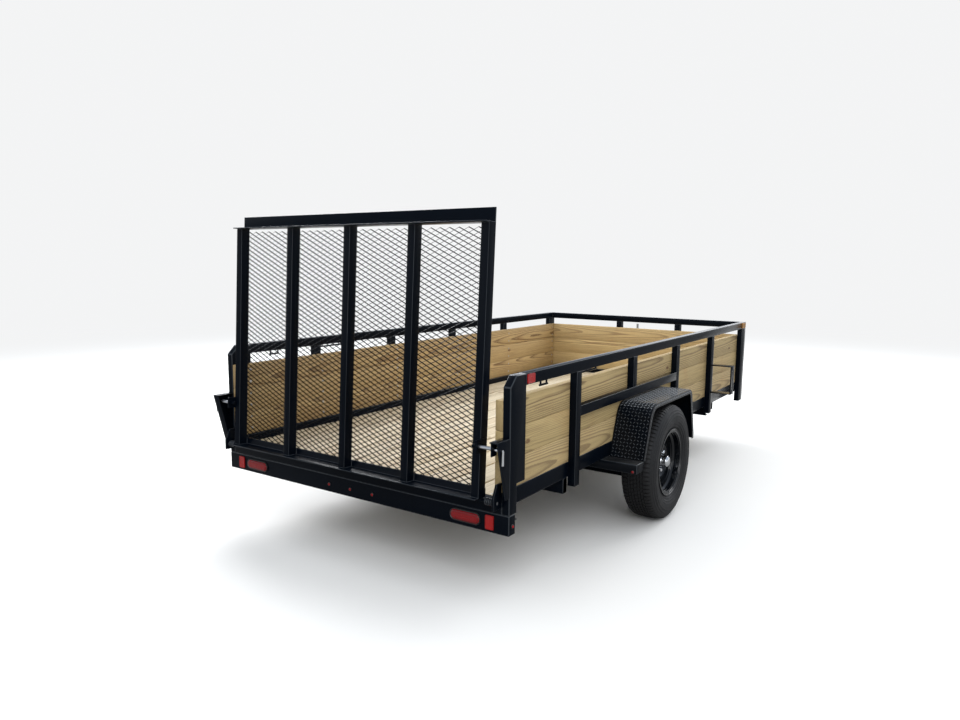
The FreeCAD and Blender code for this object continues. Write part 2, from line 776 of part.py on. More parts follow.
def hinge_ears():
    # Ears behind the posts, each bored for a hinge pin and held by a tab on the post's inner face
    ear_low = 30.0
    ear_eye = 26.0
    ear_high = 80.0
    ear_top_reach = 38.0
    tab_play = 1.0
    left = inner_face - d.hinge_ear_thick
    rear = d.hinge_station - ear_eye
    ear = plate_body("HingeEarPlate", "YZ_Plane", [
        (zero, d.hinge_height - ear_low),
        (rear, d.hinge_height - ear_low),
        (rear, d.hinge_height + ear_eye),
        (-ear_top_reach, d.hinge_height + ear_high),
        (zero, d.hinge_height + ear_high),
    ], d.hinge_ear_thick, x=left)
    tab_low = deck_top + tab_play
    tab = block(
        "HingeEarTab", left, zero, tab_low, d.hinge_ear_thick, d.tube_deep - tab_play,
        d.frame_top - tab_play - tab_low,
    )
    bore_radius = d.hinge_pin_radius + d.hinge_play
    bore = rod(
        "HingeEarBore", left - 5, d.hinge_station, d.hinge_height, bore_radius,
        d.hinge_ear_thick + 10, "X",
    )
    body = cut("HingeEar", fuse("HingeEarWhole", [ear, tab]), bore)
    node("hinge_ears", both_sides("HingeEars", body))


def helper_springs():
    # Torsion springs wound round the hinge pins, welded to the ears at their outer end
    start = inner_face.value - d.hinge_ear_thick.value - coil_long.value - d.coil_wire.value
    path = Part.makeHelix(d.coil_pitch.value, coil_long.value, d.coil_radius.value)
    middle = Vector(d.coil_radius.value, 0, 0)
    ring = Part.Wire(Part.Circle(middle, Vector(0, 1, 0), d.coil_wire.value).toShape())
    coil = Part.Wire(path).makePipeShell([ring], True, True)
    spring = doc.addObject("Part::Feature", "HelperSpring")
    spring.Shape = coil
    spring.Placement = Placement(
        Vector(start, d.hinge_station.value, d.hinge_height.value),
        Rotation(Vector(0, 1, 0), 90),
    )
    node("helper_springs", both_sides("HelperSprings", spring))


def latch_brackets():
    # The left one is a tapered channel open to the inside, the right one a plate with a shelf and a lug
    corners = [
        (zero, d.latch_foot),
        (zero, d.latch_top),
        (-d.latch_reach, d.latch_top),
        (-d.latch_foot_reach, d.latch_foot),
    ]
    plate = d.latch_plate
    outer = plate_body("LatchChannelOuter", "YZ_Plane", corners, d.tube_thin, x=inner_face)
    slot_top = d.latch_top - plate
    inset = plate * 1.1
    slot = [
        (zero, d.latch_foot),
        (zero, slot_top),
        (-(d.latch_reach - inset), slot_top),
        (-(d.latch_foot_reach - inset), d.latch_foot),
    ]
    hollow = plate_body("LatchChannelHollow", "YZ_Plane", slot, d.tube_thin - plate, x=inner_face)
    left = mirror("LatchChannel", cut("LatchChannelTurned", outer, hollow))
    side = plate_body("LatchSide", "YZ_Plane", corners, plate, x=d.half_width - plate)
    shelf = block("LatchShelf", inner_face, -d.latch_reach, slot_top, d.tube_thin, d.latch_reach, plate)
    lug_half = 20.0
    lug_drop = 28.0
    lug_low = d.latch_height - lug_drop
    lug = block(
        "LatchLug", inner_face, d.latch_pin_station - lug_half, lug_low, plate, lug_half * 2,
        d.latch_top - lug_low,
    )
    node("latch_brackets", group("LatchBrackets", [fuse("LatchRight", [side, shelf, lug]), left]))


def latch_handles():
    # The far end of each latch pin inside its bracket, and the handle bent down outside it
    handle_radius = 5.0
    handle_long = 62.0
    handle_out = 9.0
    station = d.latch_pin_station
    bar = rod(
        "LatchBar", inner_face + d.latch_plate, station, d.latch_height, d.latch_pin_radius,
        d.tube_thin - d.latch_plate * 2, "X",
    )
    stub = rod("LatchStub", d.half_width, station, d.latch_height, handle_radius, handle_out, "X")
    handle = rod(
        "LatchHandle", d.half_width + handle_out, station, d.latch_height - handle_long,
        handle_radius, handle_long, "Z",
    )
    right = group("LatchHandleParts", [bar, fuse("LatchHandleWhole", [stub, handle])])
    node("latch_handles", both_sides("LatchHandles", right))


# Running gear

def axle():
    # Dropped beam: a long tube, with an upright arm and a spindle at each end
    arm_inset = 92.0
    spindle_gap = 20.0
    arm_middle = wheel_offset - arm_inset
    arm_wide = 38.0
    beam = rod("AxleBeam", -arm_middle, d.axle_station, beam_height, d.axle_beam_radius, arm_middle * 2, "X")
    parts = [beam]
    arm_low = beam_height - d.axle_beam_radius
    arm = block(
        "AxleArm", arm_middle - arm_wide / 2, d.axle_station - d.axle_beam_radius, arm_low,
        arm_wide, d.axle_beam_radius * 2, d.axle_drop + d.axle_beam_radius * 2,
    )
    spindle = rod(
        "AxleSpindle", arm_middle, d.axle_station, d.tyre_radius, d.spindle_radius,
        wheel_offset - arm_middle - spindle_gap, "X",
    )
    parts += [arm, mirror("AxleArmLeft", arm), spindle, mirror("AxleSpindleLeft", spindle)]
    node("axle", fuse("Axle", parts))


spring_middle = inner_face - d.frame_wide / 2


def leaf_springs():
    # Leaves as arcs, the lowest the shortest, over the axle beam
    # Share of the full half-length that each leaf covers
    shares = [1.0, 0.78, 0.56, 0.34]
    stack = len(shares) * d.leaf_thick.value
    sag = d.spring_eye_height.value - (beam_height.value + d.axle_beam_radius.value + stack)
    parts = []
    half = d.spring_half.value
    radius = (half * half + sag * sag) / (2 * sag)
    eye_height = d.spring_eye_height.value
    middle_height = eye_height - sag
    thick = d.leaf_thick.value
    for i, share in enumerate(shares):
        outer_radius = radius + thick * i
        reach = half * share
        centre = Vector(0, 0, middle_height + radius)
        angle = math.asin(reach / radius)

        def spot(r, turn):
            return centre + Vector(0, r * math.sin(turn), -r * math.cos(turn))

        near = outer_radius
        far = outer_radius + thick
        edges = [
            Part.Arc(spot(near, -angle), spot(near, 0), spot(near, angle)).toShape(),
            Part.LineSegment(spot(near, angle), spot(far, angle)).toShape(),
            Part.Arc(spot(far, angle), spot(far, 0), spot(far, -angle)).toShape(),
            Part.LineSegment(spot(far, -angle), spot(near, -angle)).toShape(),
        ]
        face = Part.Face(Part.Wire(edges))
        parts.append(face.extrude(Vector(d.spring_wide.value, 0, 0)))
    eye_outer = 15.0
    for side in (-1, 1):
        eye = Part.makeCylinder(
            eye_outer, d.spring_wide.value, Vector(0, side * half, eye_height + eye_outer - thick),
            Vector(1, 0, 0),
        )
        parts.append(eye)
    shape = parts[0].multiFuse(parts[1:]).removeSplitter()
    spring = doc.addObject("Part::Feature", "LeafSpring")
    spring.Shape = shape
    spring.Placement = Placement(
        Vector(spring_middle.value - d.spring_wide.value / 2, d.axle_station.value, 0), Rotation(),
    )
    node("leaf_springs", both_sides("LeafSprings", spring))


def spring_hangers():
    # Hangers under the side frame, one pair of cheeks at each spring eye
    cheek = 5.0
    cheek_wide = 50.0
    play = 0.2
    low = d.spring_eye_height - 18
    shapes = []
    for i, side in enumerate((-1, 1)):
        station = d.axle_station + d.spring_half * side - cheek_wide / 2
        inner = spring_middle - d.spring_wide / 2 - play - cheek
        outer = spring_middle + d.spring_wide / 2 + play
        parts = [
            block("HangerInner%d" % i, inner, station, low, cheek, cheek_wide, frame_bottom - low),
            block("HangerOuter%d" % i, outer, station, low, cheek, cheek_wide, frame_bottom - low),
            block(
                "HangerTop%d" % i, inner, station, frame_bottom - cheek, outer + cheek - inner,
                cheek_wide, cheek,
            ),
        ]
        shapes.append(fuse("Hanger%d" % i, parts))
    node("spring_hangers", both_sides("SpringHangers", group("SpringHangersRight", shapes)))


def spring_clamps():
    # Clamp plate over each spring with its two bent bolts round the axle beam
    plate_long = 100.0
    plate_wide = 68.0
    plate_thick = 8.0
    bolt_radius = 5.5
    leaf_count = 4
    side_play = 0.5
    arch_rise = 1.6
    spring_top = beam_height + d.axle_beam_radius + d.leaf_thick * leaf_count + arch_rise
    parts = [
        block(
            "ClampTop", spring_middle - plate_wide / 2, d.axle_station - plate_long / 2,
            spring_top, plate_wide, plate_long, plate_thick,
        ),
    ]
    low = beam_height - d.axle_beam_radius - plate_thick
    parts.append(block(
        "ClampLow", spring_middle - plate_wide / 2, d.axle_station - plate_long / 2, low,
        plate_wide, plate_long, plate_thick,
    ))
    number = 0
    for across in (-1, 1):
        for along in (-1, 1):
            x = spring_middle + (d.spring_wide / 2 + bolt_radius + side_play) * across
            y = d.axle_station + (d.axle_beam_radius + bolt_radius + side_play) * along
            parts.append(rod(
                "ClampBolt%d" % number, x, y, low, bolt_radius,
                spring_top + plate_thick - low + 12,
            ))
            number += 1
    node("spring_clamps", both_sides("SpringClamps", fuse("SpringClamp", parts)))


def tyre_section():
    # Across the wheel and out from its axis
    bead_play = 5.3
    bead = d.rim_half - bead_play
    bead_top = d.rim_lip + 2
    tread = d.tyre_wide * 0.36
    shoulder = d.tyre_radius - 14
    sidewall_bend = d.tyre_wide * 0.481
    shoulder_bend = d.tyre_wide * 0.1165
    crown_half = d.tyre_wide * 0.23
    crown_fall = 2.0
    return [
        (-bead, d.rim_radius),
        (bead, d.rim_radius),
        (bead, bead_top, sidewall_bend, -1),
        (tread + 8, shoulder, shoulder_bend, -1),
        (tread - 8, d.tyre_radius - crown_fall),
        (crown_half, d.tyre_radius),
        (-crown_half, d.tyre_radius),
        (-(tread - 8), d.tyre_radius - crown_fall, shoulder_bend, -1),
        (-(tread + 8), shoulder, sidewall_bend, -1),
        (-bead, bead_top),
    ]


def place_on_wheel(body, side):
    return put(body, wheel_offset * side, d.axle_station, d.tyre_radius)


def wheels():
    for side, word in ((1, "right"), (-1, "left")):
        tyre = turned_body("Tyre_" + word, tyre_section())
        node("tyre_" + word, place_on_wheel(tyre, side))
        node("wheel_rim_" + word, on_wheel(side, word, "Rim", wheel_rim(word)))
        node("wheel_disc_" + word, on_wheel(side, word, "Disc", wheel_disc(word)))
        node("hub_" + word, on_wheel(side, word, "Hub", hub(word)))
        node("wheel_nuts_" + word, on_wheel(side, word, "Nuts", wheel_nuts(word)))


def on_wheel(side, word, name, item):
    # Pieces of a wheel are drawn for the right-hand side, with the axis as X
    if side < 0:
        item = mirror("%sTurned_%s" % (name, word), item)
    return group("%sPlaced_%s" % (name, word), [place_on_wheel(item, side)])


def wheel_rim(word):
    lip = d.rim_lip
    seat = d.rim_radius
    half = d.rim_half
    skin = d.rim_skin
    well = d.rim_well
    return turned_body("Rim_" + word, [
        (-half, lip),
        (-(half - 5), lip - 4),
        (-(half - 5), seat),
        (-60.0, seat - 1),
        (-40.0, well),
        (20.0, well),
        (45.0, seat - 1),
        (half - 5, seat),
        (half - 5, lip - 4),
        (half, lip),
        (half + skin, lip - 2),
        (half - 1, seat - skin),
        (47.0, seat - skin - 1),
        (22.0, well - skin),
        (-42.0, well - skin),
        (-62.0, seat - skin - 1),
        (-(half - 1), seat - skin),
        (-(half + skin), lip - 2),
    ])


def wheel_disc(word):
    # Dished disc with a ring of round vents, fixed to the inside of the rim's well
    edge = d.rim_well - d.rim_skin
    disc = turned_body("Disc_" + word, [
        (0.0, 40.4),
        (5.0, 40.4),
        (5.0, 72.0),
        (26.0, 95.0),
        (26.0, 112.0),
        (8.0, 150.0),
        (8.0, edge),
        (2.0, edge),
        (2.0, 150.0),
        (20.0, 111.0),
        (20.0, 98.0),
        (0.0, 76.0),
    ])
    vents = []
    vent_count = 10
    vent_circle = 131.0
    vent_radius = 11.0
    vent_start = -20.0
    vent_long = 60.0
    for i in range(vent_count):
        turn = 2 * math.pi * i / vent_count
        vents.append(rod(
            "Vent%d_%s" % (i, word),
            vent_start,
            vent_circle * math.cos(turn),
            vent_circle * math.sin(turn),
            vent_radius,
            vent_long,
            "X",
        ))
    return cut("PiercedDisc_" + word, disc, group("Vents_" + word, vents))


def hub(word):
    # Hub barrel round the spindle, its flange and the grease cap
    play = 1.0
    body = turned_body("Hub_" + word, [
        (-52.0, d.spindle_radius + play),
        (-18.0, d.spindle_radius + play),
        (-18.0, 0.0),
        (75.0, 0.0),
        (75.0, 17.0),
        (70.0, 25.0),
        (60.0, 29.0),
        (36.0, 29.0),
        (32.0, 32.0),
        (6.0, 34.0),
        (6.0, 39.4),
        (0.0, 39.4),
        (0.0, 70.0),
        (-10.0, 70.0),
        (-14.0, 42.0),
        (-52.0, 42.0),
    ])
    return body


def wheel_nuts(word):
    count = 5
    nut_reach = 28.0
    across = 11.0
    face = 5.0
    nuts = []
    for i in range(count):
        turn = 2 * math.pi * i / count - math.pi / 2
        nut = doc.addObject("Part::Prism", "Nut%d_%s" % (i, word))
        nut.Polygon = 6
        nut.Placement = Placement(Vector(0, 0, 0), Rotation(Vector(0, 1, 0), 90))
        tie(nut, "Circumradius", across)
        tie(nut, "Height", nut_reach)
        nuts.append(put(nut, face, d.bolt_circle * math.cos(turn), d.bolt_circle * math.sin(turn)))
    return group("Nuts_" + word, nuts)


# Fenders

def fender_outline(inset):
    # Along the trailer and up: the two feet, then over the top from front to rear
    foot_rise = 42.0
    below = 10.0
    rear_slant = 103.0
    front_slant = 67.0
    rear_foot = fender_foot_rear + inset
    rear_knee = rear_foot + rear_slant
    front_foot = fender_foot_front - inset
    front_knee = front_foot - front_slant
    top = d.fender_top - inset
    foot_low = cross_bottom + foot_rise
    if inset is zero:
        feet = [
            (rear_foot, frame_bottom),
            (d.axle_station, frame_bottom),
            (d.axle_station, foot_low),
            (front_foot, foot_low),
        ]
    else:
        feet = [
            (rear_foot, frame_bottom),
            (rear_foot, foot_low - below),
            (front_foot, foot_low - below),
        ]
    return feet + [(front_foot, frame_bottom), (front_knee, top), (rear_knee, top)]


def fender_solid(name, inset, x, wide):
    # A solid prism with its two top corners rounded
    rear_bend = 105.0
    front_bend = 60.0
    body = new_body(name)
    corners = fender_outline(inset)
    pad(body, outline(body, name + "Outline", "YZ_Plane", corners), wide)
    for knee, bend in ((corners[-1], rear_bend), (corners[-2], front_bend)):
        doc.recompute()
        base = body.Tip
        numbers = [i for i, edge in enumerate(base.Shape.Edges, start=1) if on_knee(edge, knee)]
        feature = body.newObject("PartDesign::Fillet", name + "Bend")
        feature.Base = (base, ["Edge%d" % number for number in numbers])
        tie(feature, "Radius", size(bend) - inset)
        body.Tip = feature
    return put(body, x, zero, zero)


def on_knee(edge, knee):
    middle = edge.CenterOfMass
    near = 0.1
    return abs(middle.y - knee[0].value) < near and abs(middle.z - knee[1].value) < near


def fenders():
    skin = d.fender_plate
    outer = fender_solid("FenderOuter", zero, fender_inner, d.fender_wide)
    inner = fender_solid("FenderInner", skin, fender_inner - 1, d.fender_wide + 2)
    arch = cut("FenderArch", outer, inner)
    lip_outer = fender_solid("FenderLipOuter", zero, fender_outer - skin, skin)
    lip_inner = fender_solid("FenderLipInner", d.fender_lip, fender_outer - skin - 1, skin + 2)
    lip = cut("FenderLip", lip_outer, lip_inner)
    whole = fuse("Fender", [arch, lip])
    node("fender_right", group("FenderRight", [whole]))
    node("fender_left", group("FenderLeft", [mirror("FenderTurned", whole)]))


# Hitch

def coupler():
    # Pressed coupler: a wedge plate over the beam tips, a throat, and a domed nose round the ball
    top = cross_bottom + d.frame_tall
    skin = 5.0
    rear_half = 120.0
    body_rear = d.ball_station - 250
    corners = [
        (-rear_half, body_rear),
        (rear_half, body_rear),
        (d.coupler_nose - 14, d.ball_station),
        (-(d.coupler_nose - 14), d.ball_station),
    ]
    wedge = plate_body("CouplerWedge", "XY_Plane", corners, skin, z=top)
    space = rod("CouplerSpace", zero, d.ball_station, d.ball_height - 40, d.coupler_nose - 6, 120)
    throat_half = 36.0
    throat_tall = 30.0
    throat_rear = 125.0
    throat_front = 32.0
    throat = block(
        "CouplerThroat",
        -throat_half,
        d.ball_station - throat_rear,
        top - throat_tall,
        throat_half * 2,
        throat_rear - throat_front,
        throat_tall,
    )
    socket = d.ball_radius + 1
    skirt = 14.0
    shoulder = 12.0
    crown = 46.0
    nose = turned_body("CouplerNose", [
        (socket, -skirt),
        (d.coupler_nose, -skirt),
        (d.coupler_nose, shoulder),
        (d.coupler_nose - 6, shoulder + 18),
        (d.coupler_nose - 20, shoulder + 30),
        (0.0, crown),
        (zero, socket, socket, 1),
        (socket, 0.0),
    ], "XZ_Plane", "V_Axis")
    put(nose, zero, d.ball_station, d.ball_height)
    plate = cut("CouplerPlate", wedge, space)
    node("coupler", fuse("Coupler", [plate, throat, nose]))


def coupler_latch():
    top = cross_bottom + d.frame_tall + 5
    base = block("LatchLeverBase", -12, d.ball_station - 130, top, 24, 60, 34)
    lever = block("LatchLever", -10, d.ball_station - 175, top + 34, 20, 140, 8)
    node("coupler_latch", fuse("CouplerLatch", [base, lever]))


# Tongue jack

beam_turn = math.radians(d.tongue_angle.value)
jack_along = (d.tongue_tip.value - d.jack_station.value)
jack_middle = Vector(
    -(d.tongue_tip_half.value + jack_along * math.tan(beam_turn)
      + d.jack_standoff.value / math.cos(beam_turn)),
    d.jack_station.value,
    0,
)
outward = Vector(-math.cos(beam_turn), math.sin(beam_turn), 0)
pivot_height = cross_bottom.value + d.frame_tall.value / 2


def on_jack(name, item):
    # Pieces of the jack are drawn with its axis as Z and the tongue beam on the +X side.
    holder = group(name, [item])
    holder.Placement = Placement(jack_middle, Rotation(Vector(0, 0, 1), -d.tongue_angle.value))
    return holder


def jack():
    gap = 0.3
    plate_thick = 8.0
    plate_long = 120.0
    sleeve_radius = 25.0
    collar_wall = 8.0
    face = d.jack_standoff
    pivot = size(pivot_height)
    plate = block(
        "JackPlate", face - plate_thick, -plate_long / 2, pivot - d.frame_tall / 2, plate_thick,
        plate_long, d.frame_tall,
    )
    stub_long = 14.0
    stub = rod(
        "JackPivotStub", face - plate_thick - stub_long, zero, pivot, sleeve_radius - collar_wall,
        stub_long, "X",
    )
    node("jack_bracket", on_jack("JackBracketPlaced", fuse("JackBracket", [plate, stub])))

    tube_outer = rod(
        "JackTubeOuter", zero, zero, d.jack_tube_bottom, d.jack_tube_radius,
        d.jack_top - d.jack_tube_bottom,
    )
    tube_bore = rod(
        "JackTubeBore", zero, zero, d.jack_tube_bottom, d.jack_leg_radius + gap,
        d.jack_top - d.jack_tube_bottom - 12,
    )
    sunk = 3.0
    collar_start = d.jack_tube_radius - sunk
    collar_long = face - plate_thick - collar_start
    collar = rod("JackCollar", collar_start, zero, pivot, sleeve_radius, collar_long - gap, "X")
    bore_radius = sleeve_radius - collar_wall + gap
    collar_bore = rod(
        "JackCollarBore", collar_start + collar_wall, zero, pivot, bore_radius, collar_long, "X",
    )
    cap = rod("JackCap", zero, zero, d.jack_top, d.jack_tube_radius + 4, 14)
    outer = fuse(
        "JackOuterSolid",
        [cut("JackTube", tube_outer, tube_bore), cut("JackCollarHollow", collar, collar_bore), cap],
    )
    node("jack_tube", on_jack("JackTubePlaced", outer))

    crank_height = d.jack_top + 26
    hub_rod = rod("CrankHub", zero, zero, d.jack_top + 14, 10, 20)
    arm = rod("CrankArm", zero, zero, crank_height, 6, 150, "Y")
    grip = rod("CrankGrip", zero, size(150.0), crank_height - 6, 11, 90)
    node("jack_crank", on_jack("JackCrankPlaced", fuse("JackCrank", [hub_rod, arm, grip])))

    leg_bottom = d.jack_foot_thick
    leg = rod("JackLegTube", zero, zero, leg_bottom, d.jack_leg_radius, d.jack_leg_long)
    foot = rod("JackFoot", zero, zero, zero, d.jack_foot_radius, d.jack_foot_thick)
    node("jack_leg", on_jack("JackLegPlaced", fuse("JackLeg", [leg, foot])))


# Lamps and reflectors

def oval_lamp(name, x, z, half_long, half_tall, reach):
    # A lens with round ends, standing out of the bumper's rear face
    straight = half_long - half_tall
    end_bend = half_tall * 1.02
    corners = [
        (-straight, -half_tall),
        (straight, -half_tall, end_bend, -1),
        (straight, half_tall),
        (-straight, half_tall, end_bend, -1),
    ]
    return plate_body(name, "XZ_Plane", corners, reach, x=x, z=z)


def tail_lamps():
    middle = d.half_width - d.lamp_inset
    height = d.bumper_bottom + d.lamp_rise
    lens = oval_lamp("TailLens", middle, height, d.lamp_half_long, d.lamp_half_tall, d.lamp_reach)
    node("tail_lamps", both_sides("TailLamps", lens))


def rear_reflectors():
    left = d.half_width - d.reflector_inset - d.reflector_wide
    low = d.bumper_bottom + (d.bumper_tall - d.reflector_tall) / 2
    thick = d.reflector_thick
    plate = block("RearReflector", left, -thick, low, d.reflector_wide, thick, d.reflector_tall)
    node("rear_reflectors", both_sides("RearReflectors", plate))


def side_reflectors():
    thick = d.reflector_thick
    inset = 4.0
    low = rail_bottom + inset
    tall = d.rail_tall - inset * 2
    red_long = 62.0
    amber_long = 96.0
    red = block("SideReflectorRed", d.half_width, d.post_deep + inset, low, thick, size(red_long), tall)
    node("side_reflectors_red", both_sides("SideReflectorsRed", red))
    amber = block(
        "SideReflectorAmber", d.half_width, d.bed_front - amber_long - inset * 4, low, thick,
        size(amber_long), tall,
    )
    node("side_reflectors_amber", both_sides("SideReflectorsAmber", amber))


def marker_lamps():
    # Three small lamps in the middle of the bumper, one on each end of it and one behind each wheel
    radius = d.marker_radius
    reach = d.marker_reach
    rise = 40.0
    from_edge = 22.0
    step_rise = 11.0
    shapes = []
    for i in range(3):
        lamp = rod(
            "MarkerRear%d" % i, d.marker_pitch * (i - 1), -reach, d.bumper_bottom + rise, radius,
            reach, "Y",
        )
        shapes.append(lamp)
    end = rod("MarkerEnd", d.half_width, d.bumper_deep / 2, d.bumper_bottom + rise, radius, reach, "X")
    behind = fender_foot_rear - d.step_behind - reach
    lamp_height = frame_bottom - d.step_tall + step_rise
    fender_mark = rod(
        "MarkerFender", fender_outer - from_edge, behind, lamp_height, radius, reach, "Y",
    )
    shapes += [both_sides("MarkerEnds", end), both_sides("MarkerFenders", fender_mark)]
    node("marker_lamps", group("MarkerLamps", shapes))


# Spare wheel bracket and tie-down loops

def spare_bracket():
    # A flat bar bent to a U on the outer face of the right-hand upright ahead of the wheel
    station = d.spare_station
    thick = d.spare_thick
    lower = block("SpareLower", d.half_width, station, d.spare_bottom, d.spare_reach, d.spare_wide, thick)
    upper = block(
        "SpareUpper", d.half_width, station, d.spare_top - thick, d.spare_reach, d.spare_wide,
        thick,
    )
    face = block(
        "SpareFace", d.half_width + d.spare_reach - thick, station, d.spare_bottom, thick,
        d.spare_wide, d.spare_top - d.spare_bottom,
    )
    holes = []
    hole_radius = 7.0
    stud_pitch = 108.66
    middle = (d.spare_bottom + d.spare_top) / 2
    for i, side in enumerate((-0.5, 0.5)):
        hole = rod(
            "SpareHole%d" % i, d.half_width, station + d.spare_wide / 2,
            middle + stud_pitch * side, size(hole_radius), d.spare_reach * 2, "X",
        )
        holes.append(hole)
    bracket = cut("SpareBracket", fuse("SpareBar", [lower, upper, face]), group("SpareHoles", holes))
    node("spare_wheel_bracket", bracket)


def tie_down_loops():
    # Rods under the top rail, each on two short legs: station, length and drop
    leg_radius = d.loop_radius * 0.9
    inset = 9.0
    middle = d.half_width - d.tube_thin / 2
    rows = [
        (d.loop_station, d.loop_long, d.loop_drop),
        (d.tie_rod_station, d.tie_rod_long, d.tie_rod_drop),
    ]
    shapes = []
    for i, (station, long, drop) in enumerate(rows):
        low = rail_bottom - drop
        bar = rod("LoopBar%d" % i, middle, station, low, d.loop_radius, long, "Y")
        rear = rod("LoopRear%d" % i, middle, station + inset, low, leg_radius, drop)
        front = rod("LoopFront%d" % i, middle, station + long - inset, low, leg_radius, drop)
        shapes.append(fuse("Loop%d" % i, [bar, rear, front]))
    node("tie_down_loops", both_sides("TieDownLoops", group("TieDownLoopsRight", shapes)))


def build():
    frame_side_rails()
    frame_headers()
    cross_members()
    fender_step()
    tongue_beams()
    bumper()
    rear_posts()
    side_uprights()
    front_uprights()
    top_rail()
    side_braces()
    floor_planks()
    side_boards()
    front_boards()
    gate_frame()
    gate_mesh()
    gate_hinge_pins()
    gate_latch_pins()
    hinge_ears()
    helper_springs()
    latch_brackets()
    latch_handles()
    axle()
    leaf_springs()
    spring_hangers()
    spring_clamps()
    wheels()
    fenders()
    coupler()
    coupler_latch()
    jack()
    tail_lamps()
    rear_reflectors()
    side_reflectors()
    marker_lamps()
    spare_bracket()
    tie_down_loops()


def check_and_write():
    doc.recompute()
    for item in doc.Objects:
        bad = [word for word in item.State if word in ("Invalid", "Error")]
        if bad:
            raise RuntimeError("%s did not build: %s" % (item.Name, bad))
    for item in node_list:
        if item.Shape.isNull() or not item.Shape.isValid() or not item.Shape.Solids:
            raise RuntimeError("%s has no valid solid" % item.Label)
    os.makedirs("parts", exist_ok=True)
    for item in node_list:
        item.Shape.exportStep(os.path.join("parts", item.Label + ".step"))
        box = item.Shape.BoundBox
        print("%-24s %2d solids  x %7.1f %7.1f  y %7.1f %7.1f  z %7.1f %7.1f" % (
            item.Label, len(item.Shape.Solids), box.XMin, box.XMax, box.YMin, box.YMax, box.ZMin, box.ZMax))


build()
check_and_write()
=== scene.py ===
import json
import math
import bpy
import bmesh
from mathutils import Matrix, Vector


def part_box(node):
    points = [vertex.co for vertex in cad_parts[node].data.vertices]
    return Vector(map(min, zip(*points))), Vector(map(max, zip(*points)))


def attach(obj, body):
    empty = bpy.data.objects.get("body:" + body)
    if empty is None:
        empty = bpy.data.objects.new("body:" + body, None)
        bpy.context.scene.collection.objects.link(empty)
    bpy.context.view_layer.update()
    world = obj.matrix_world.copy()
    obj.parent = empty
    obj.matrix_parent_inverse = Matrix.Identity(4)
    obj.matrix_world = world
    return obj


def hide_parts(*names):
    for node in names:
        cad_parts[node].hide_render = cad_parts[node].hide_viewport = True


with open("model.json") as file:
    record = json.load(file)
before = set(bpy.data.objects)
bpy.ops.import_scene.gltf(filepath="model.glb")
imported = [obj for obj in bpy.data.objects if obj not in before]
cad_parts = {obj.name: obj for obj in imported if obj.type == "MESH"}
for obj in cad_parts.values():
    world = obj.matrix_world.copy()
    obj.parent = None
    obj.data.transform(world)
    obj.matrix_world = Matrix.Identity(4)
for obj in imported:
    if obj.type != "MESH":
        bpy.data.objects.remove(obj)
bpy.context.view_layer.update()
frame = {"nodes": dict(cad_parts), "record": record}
nodes = frame["nodes"]
bodies = frame["record"]["behaviour"]["bodies"]

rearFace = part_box("rear_bumper")[0].y  # the bumper's rear face, from which stations are counted


def station(metres):
    return rearFace + metres


def mm(value):
    return value / 1000


# Camera

camera = {
    "place": (2.4476, station(-2.5046), 1.4540),
    "leftTurn": 33.975,
    "downTilt": 7.560,
    "roll": 0.528,
    "focalLength": 27.219,
    "sensorWidth": 36,
    "nearLimit": 0.05,
}


def makeCamera():
    turn, tilt, roll = (math.radians(camera[k]) for k in ("leftTurn", "downTilt", "roll"))
    ahead = Vector((-math.sin(turn) * math.cos(tilt), math.cos(turn) * math.cos(tilt), -math.sin(tilt)))
    level = Vector((math.cos(turn), math.sin(turn), 0))
    rise = level.cross(ahead)
    right = level * math.cos(roll) + rise * math.sin(roll)
    up = rise * math.cos(roll) - level * math.sin(roll)
    data = bpy.data.cameras.new("camera")
    data.sensor_width = camera["sensorWidth"]
    data.lens = camera["focalLength"]
    data.clip_start = camera["nearLimit"]
    viewer = bpy.data.objects.new("camera", data)
    bpy.context.scene.collection.objects.link(viewer)
    turned = Matrix((right, up, -ahead)).transposed().to_4x4()
    viewer.matrix_world = Matrix.Translation(camera["place"]) @ turned
    bpy.context.scene.camera = viewer


makeCamera()
print("camera is in place")


# Node groups that several materials share

# kinds of the groups' inputs and outputs; the others are numbers
socketKinds = {"Vector": "Vector", "Stretch": "Vector", "Pale": "Color", "Dark": "Color", "Color": "Color"}


def newGroup(name, inputs, outputs):
    tree = bpy.data.node_groups.new(name, "ShaderNodeTree")
    for direction, labels in (("INPUT", inputs), ("OUTPUT", outputs)):
        for label in labels:
            kind = "NodeSocket" + socketKinds.get(label, "Float")
            tree.interface.new_socket(name=label, in_out=direction, socket_type=kind)
    given = tree.nodes.new("NodeGroupInput").outputs
    return tree, given, tree.nodes.new("NodeGroupOutput")


def put(tree, kind, **values):
    node = tree.nodes.new(kind)
    for key, value in values.items():
        setattr(node, key, value)
    return node


def feed(socket, value):
    # an output is linked to the socket, and anything else is set on it
    if isinstance(value, bpy.types.NodeSocket):
        socket.id_data.links.new(value, socket)
    else:
        socket.default_value = value


def feedNode(node, **values):
    for key, value in values.items():
        feed(node.inputs[key.replace("_", " ")], value)


def mathNode(operation, first, second=None, clamp=False):
    known = first if isinstance(first, bpy.types.NodeSocket) else second
    node = put(known.id_data, "ShaderNodeMath", operation=operation, use_clamp=clamp)
    feed(node.inputs[0], first)
    if second is not None:
        feed(node.inputs[1], second)
    return node.outputs[0]


def plus(first, second, clamp=False):
    return mathNode("ADD", first, second, clamp)


def minus(first, second, clamp=False):
    return mathNode("SUBTRACT", first, second, clamp)


def times(first, second, clamp=False):
    return mathNode("MULTIPLY", first, second, clamp)


def vectorNode(operation, first, *others):
    node = put(first.id_data, "ShaderNodeVectorMath", operation=operation)
    for socket, value in zip(node.inputs, (first, *others)):
        feed(socket, value)
    return node.outputs["Vector"]


